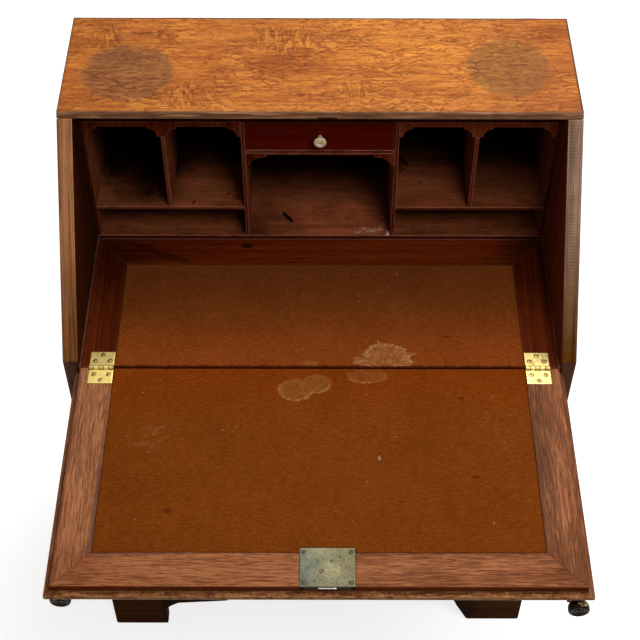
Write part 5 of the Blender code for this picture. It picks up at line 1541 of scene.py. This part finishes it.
def lockDish(x, y):
    depths = [dip(nearest(x, y, lockScrews), lockParts["countersink"], lockParts["sunk"])]
    for hole in lockHoles:
        away = np.hypot(x - hole["at"][0], y - hole["at"][1] - hingeY)
        depths.append(dip(away, hole["radius"], hole["depth"], holeSteep))
    away = np.abs(np.hypot(x - keyX, y - keyY - hingeY) - drillPin["radius"])
    depths.append(dip(away, drillPin["groove"], drillPin["depth"], drillPin["steep"]))
    return np.min(depths, axis=0)


behindPlate = writingZ - lockParts["plate"]
plateHigh = np.array([lockHigh[0], lockHigh[1], writingZ + lockParts["proud"]])
shapes = [plateShape(np.array([lockLow[0], lockLow[1], behindPlate]), plateHigh, lockParts["step"], lockDish)]
boxIn, boltGap = lockParts["caseIn"], lockParts["boltGap"]
for low, high in (
    (boltHigh[2] + boltGap, behindPlate - lockParts["caseGap"]),
    (lockLow[2], boltLow[2] - boltGap),
):
    boxHigh = (lockHigh[0] - boxIn, windowFront - boxIn, high)
    shapes.append(boardShape((lockLow[0] + boxIn, lockLow[1], low), boxHigh, lockParts["edge"]))
makePiece("lock_plate_and_case", joined(shapes), [lockBrass], "fall", "lock_brass", ["lock_case"],
          lockParts["sharp"], True)
screwHeads("lock_screws", lockScrews, lockParts["turns"], writingZ, lockParts["screw"], lockScrew,
           "fall", "lock_brass")
makePiece("lock_bolt_bar", boardShape(boltLow, boltHigh, lockParts["boltEdge"]), [steel], "bolt", "steel",
          ["lock_bolt"])

# key escutcheon on the show face: from the keyhole's outline to an oval, raised in the middle of its width
escutcheon = {"half": (0.011, 0.017), "hole": 0.003, "slot": 0.0017, "slotEnd": 0.009, "slotFrom": 0.72,
              "flare": 3, "proud": 0.0012, "lift": 0.0001, "back": 0.0006, "up": 0.003, "rings": 7, "points": 72}
well = {"half": 0.0033, "end": 0.0095, "deep": 0.0004, "edge": 0.0003}
keyY = hingeY + keyY
angle = np.linspace(0, 2 * np.pi, escutcheon["points"], endpoint=False)
circle = np.stack([np.cos(angle), np.sin(angle)], 1)
roundPart = escutcheon["hole"] * circle
slotSide = np.clip(roundPart[:, 0] * escutcheon["flare"], -escutcheon["slot"], escutcheon["slot"])
slotPart = np.stack([slotSide, np.full(len(angle), escutcheon["slotEnd"])], 1)
holeEdge = np.where(circle[:, 1:] > escutcheon["slotFrom"], slotPart, roundPart)
oval = circle * escutcheon["half"] + (0.0, escutcheon["up"])
t = np.linspace(0, 1, escutcheon["rings"])
lift = escutcheon["proud"] * np.sqrt(np.clip(1 - (2 * t - 1) ** 4, 0, 1))
flat = holeEdge[None] + t[:, None, None] * (oval - holeEdge)[None]
flat = np.concatenate([flat, flat[::-1]], 0)
up = np.r_[lift + escutcheon["lift"], np.full(len(t), -escutcheon["back"])]
level = np.broadcast_to((panelLow[2] - up)[:, None, None], flat.shape[:2] + (1,))
verts = np.concatenate([flat + (keyX, keyY), level], 2)
faces = gridFaces(np.arange(flat.size // 2).reshape(flat.shape[:2]), True, True, True).tolist()
makePiece("key_escutcheon", evenShape(verts, faces), [brass], "fall", "brass", weld=True)
# a dark plate in the keyhole stands in for the shade inside the hole
wellLow = (keyX - well["half"], keyY - well["half"], panelLow[2] - well["deep"])
wellHigh = (keyX + well["half"], keyY + well["end"], panelLow[2] + well["deep"])
makePiece("key_well", boardShape(wellLow, wellHigh, well["edge"]), [keyholeShadeSteel], "fall", "steel")
print("metalwork made")


# stage: pale floor, soft light from above and a little to the right, camera at the photograph's place
stage = {"floor": 14.0, "colour": (0.84, 0.84, 0.83), "rough": 0.9, "lift": 0.80, "world": 0.08}


def seenRays(wire):  # 1 for rays that show a thing to the camera, straight or by a reflection
    rays = wire.node("ShaderNodeLightPath", None, None, "Is Camera Ray")
    return rays.most(rays.other("Is Glossy Ray")).most(rays.other("Is Transmission Ray"))


bpy.ops.mesh.primitive_grid_add(x_subdivisions=2, y_subdivisions=2, size=stage["floor"])
floor = bpy.context.object
floor.name = "floor"
floorFinish = bpy.data.materials.new("pale_floor")
floorFinish.use_nodes = True
shader = floorFinish.node_tree.nodes["Principled BSDF"]
shader.inputs["Base Color"].default_value = (*stage["colour"], 1.0)
shader.inputs["Roughness"].default_value = stage["rough"]
shader.inputs["Specular IOR Level"].default_value = 0.0
shader.inputs["Emission Strength"].default_value = 1.0
wire = Wire(floorFinish.node_tree)
shown = wire.blend(seenRays(wire), (0.0, 0.0, 0.0), (stage["lift"],) * 3)
floorFinish.node_tree.links.new(shown.socket, shader.inputs["Emission Color"])
floor.data.materials.append(floorFinish)

world = bpy.data.worlds.new("soft_room")
bpy.context.scene.world = world
world.use_nodes = True
background = world.node_tree.nodes["Background"]
background.inputs["Color"].default_value = (1.0, 1.0, 1.0, 1.0)
strength = stage["world"] + seenRays(Wire(world.node_tree)) * (1.0 - stage["world"])
world.node_tree.links.new(strength.socket, background.inputs["Strength"])

lamps = [
    {"name": "overhead", "place": (0.50, 1.20, 3.10), "size": 1.3, "power": 47.0},
    {"name": "front_right", "place": (0.75, -1.15, 2.92), "size": 0.9, "power": 22.0},
]
lampAim = np.array([0.0, 0.0, 0.75])
for lamp in lamps:
    data = bpy.data.lights.new(lamp["name"], "AREA")
    data.size = lamp["size"]
    data.energy = lamp["power"]
    light = bpy.data.objects.new(lamp["name"], data)
    light.location = lamp["place"]
    aim = lampAim - lamp["place"]
    light.rotation_euler = (math.atan2(np.hypot(*aim[:2]), -aim[2]), 0.0, math.atan2(-aim[0], aim[1]))
    bpy.context.scene.collection.objects.link(light)

eye = {"place": (0.0005, -1.2330, 2.3539), "pitch": 50.0644, "roll": 0.1213, "lens": 76.919}
cameraData = bpy.data.cameras.new("camera")
cameraData.sensor_width = 36.0
cameraData.lens = eye["lens"]
camera = bpy.data.objects.new("camera", cameraData)
camera.rotation_mode = "ZXY"
camera.rotation_euler = (math.radians(90.0 - eye["pitch"]), 0.0, math.radians(eye["roll"]))
camera.location = (eye["place"][0], eye["place"][1] + hingeY, eye["place"][2])
bpy.context.scene.collection.objects.link(camera)
bpy.context.scene.camera = camera
bpy.context.scene.view_settings.view_transform = "Standard"
print("stage set")
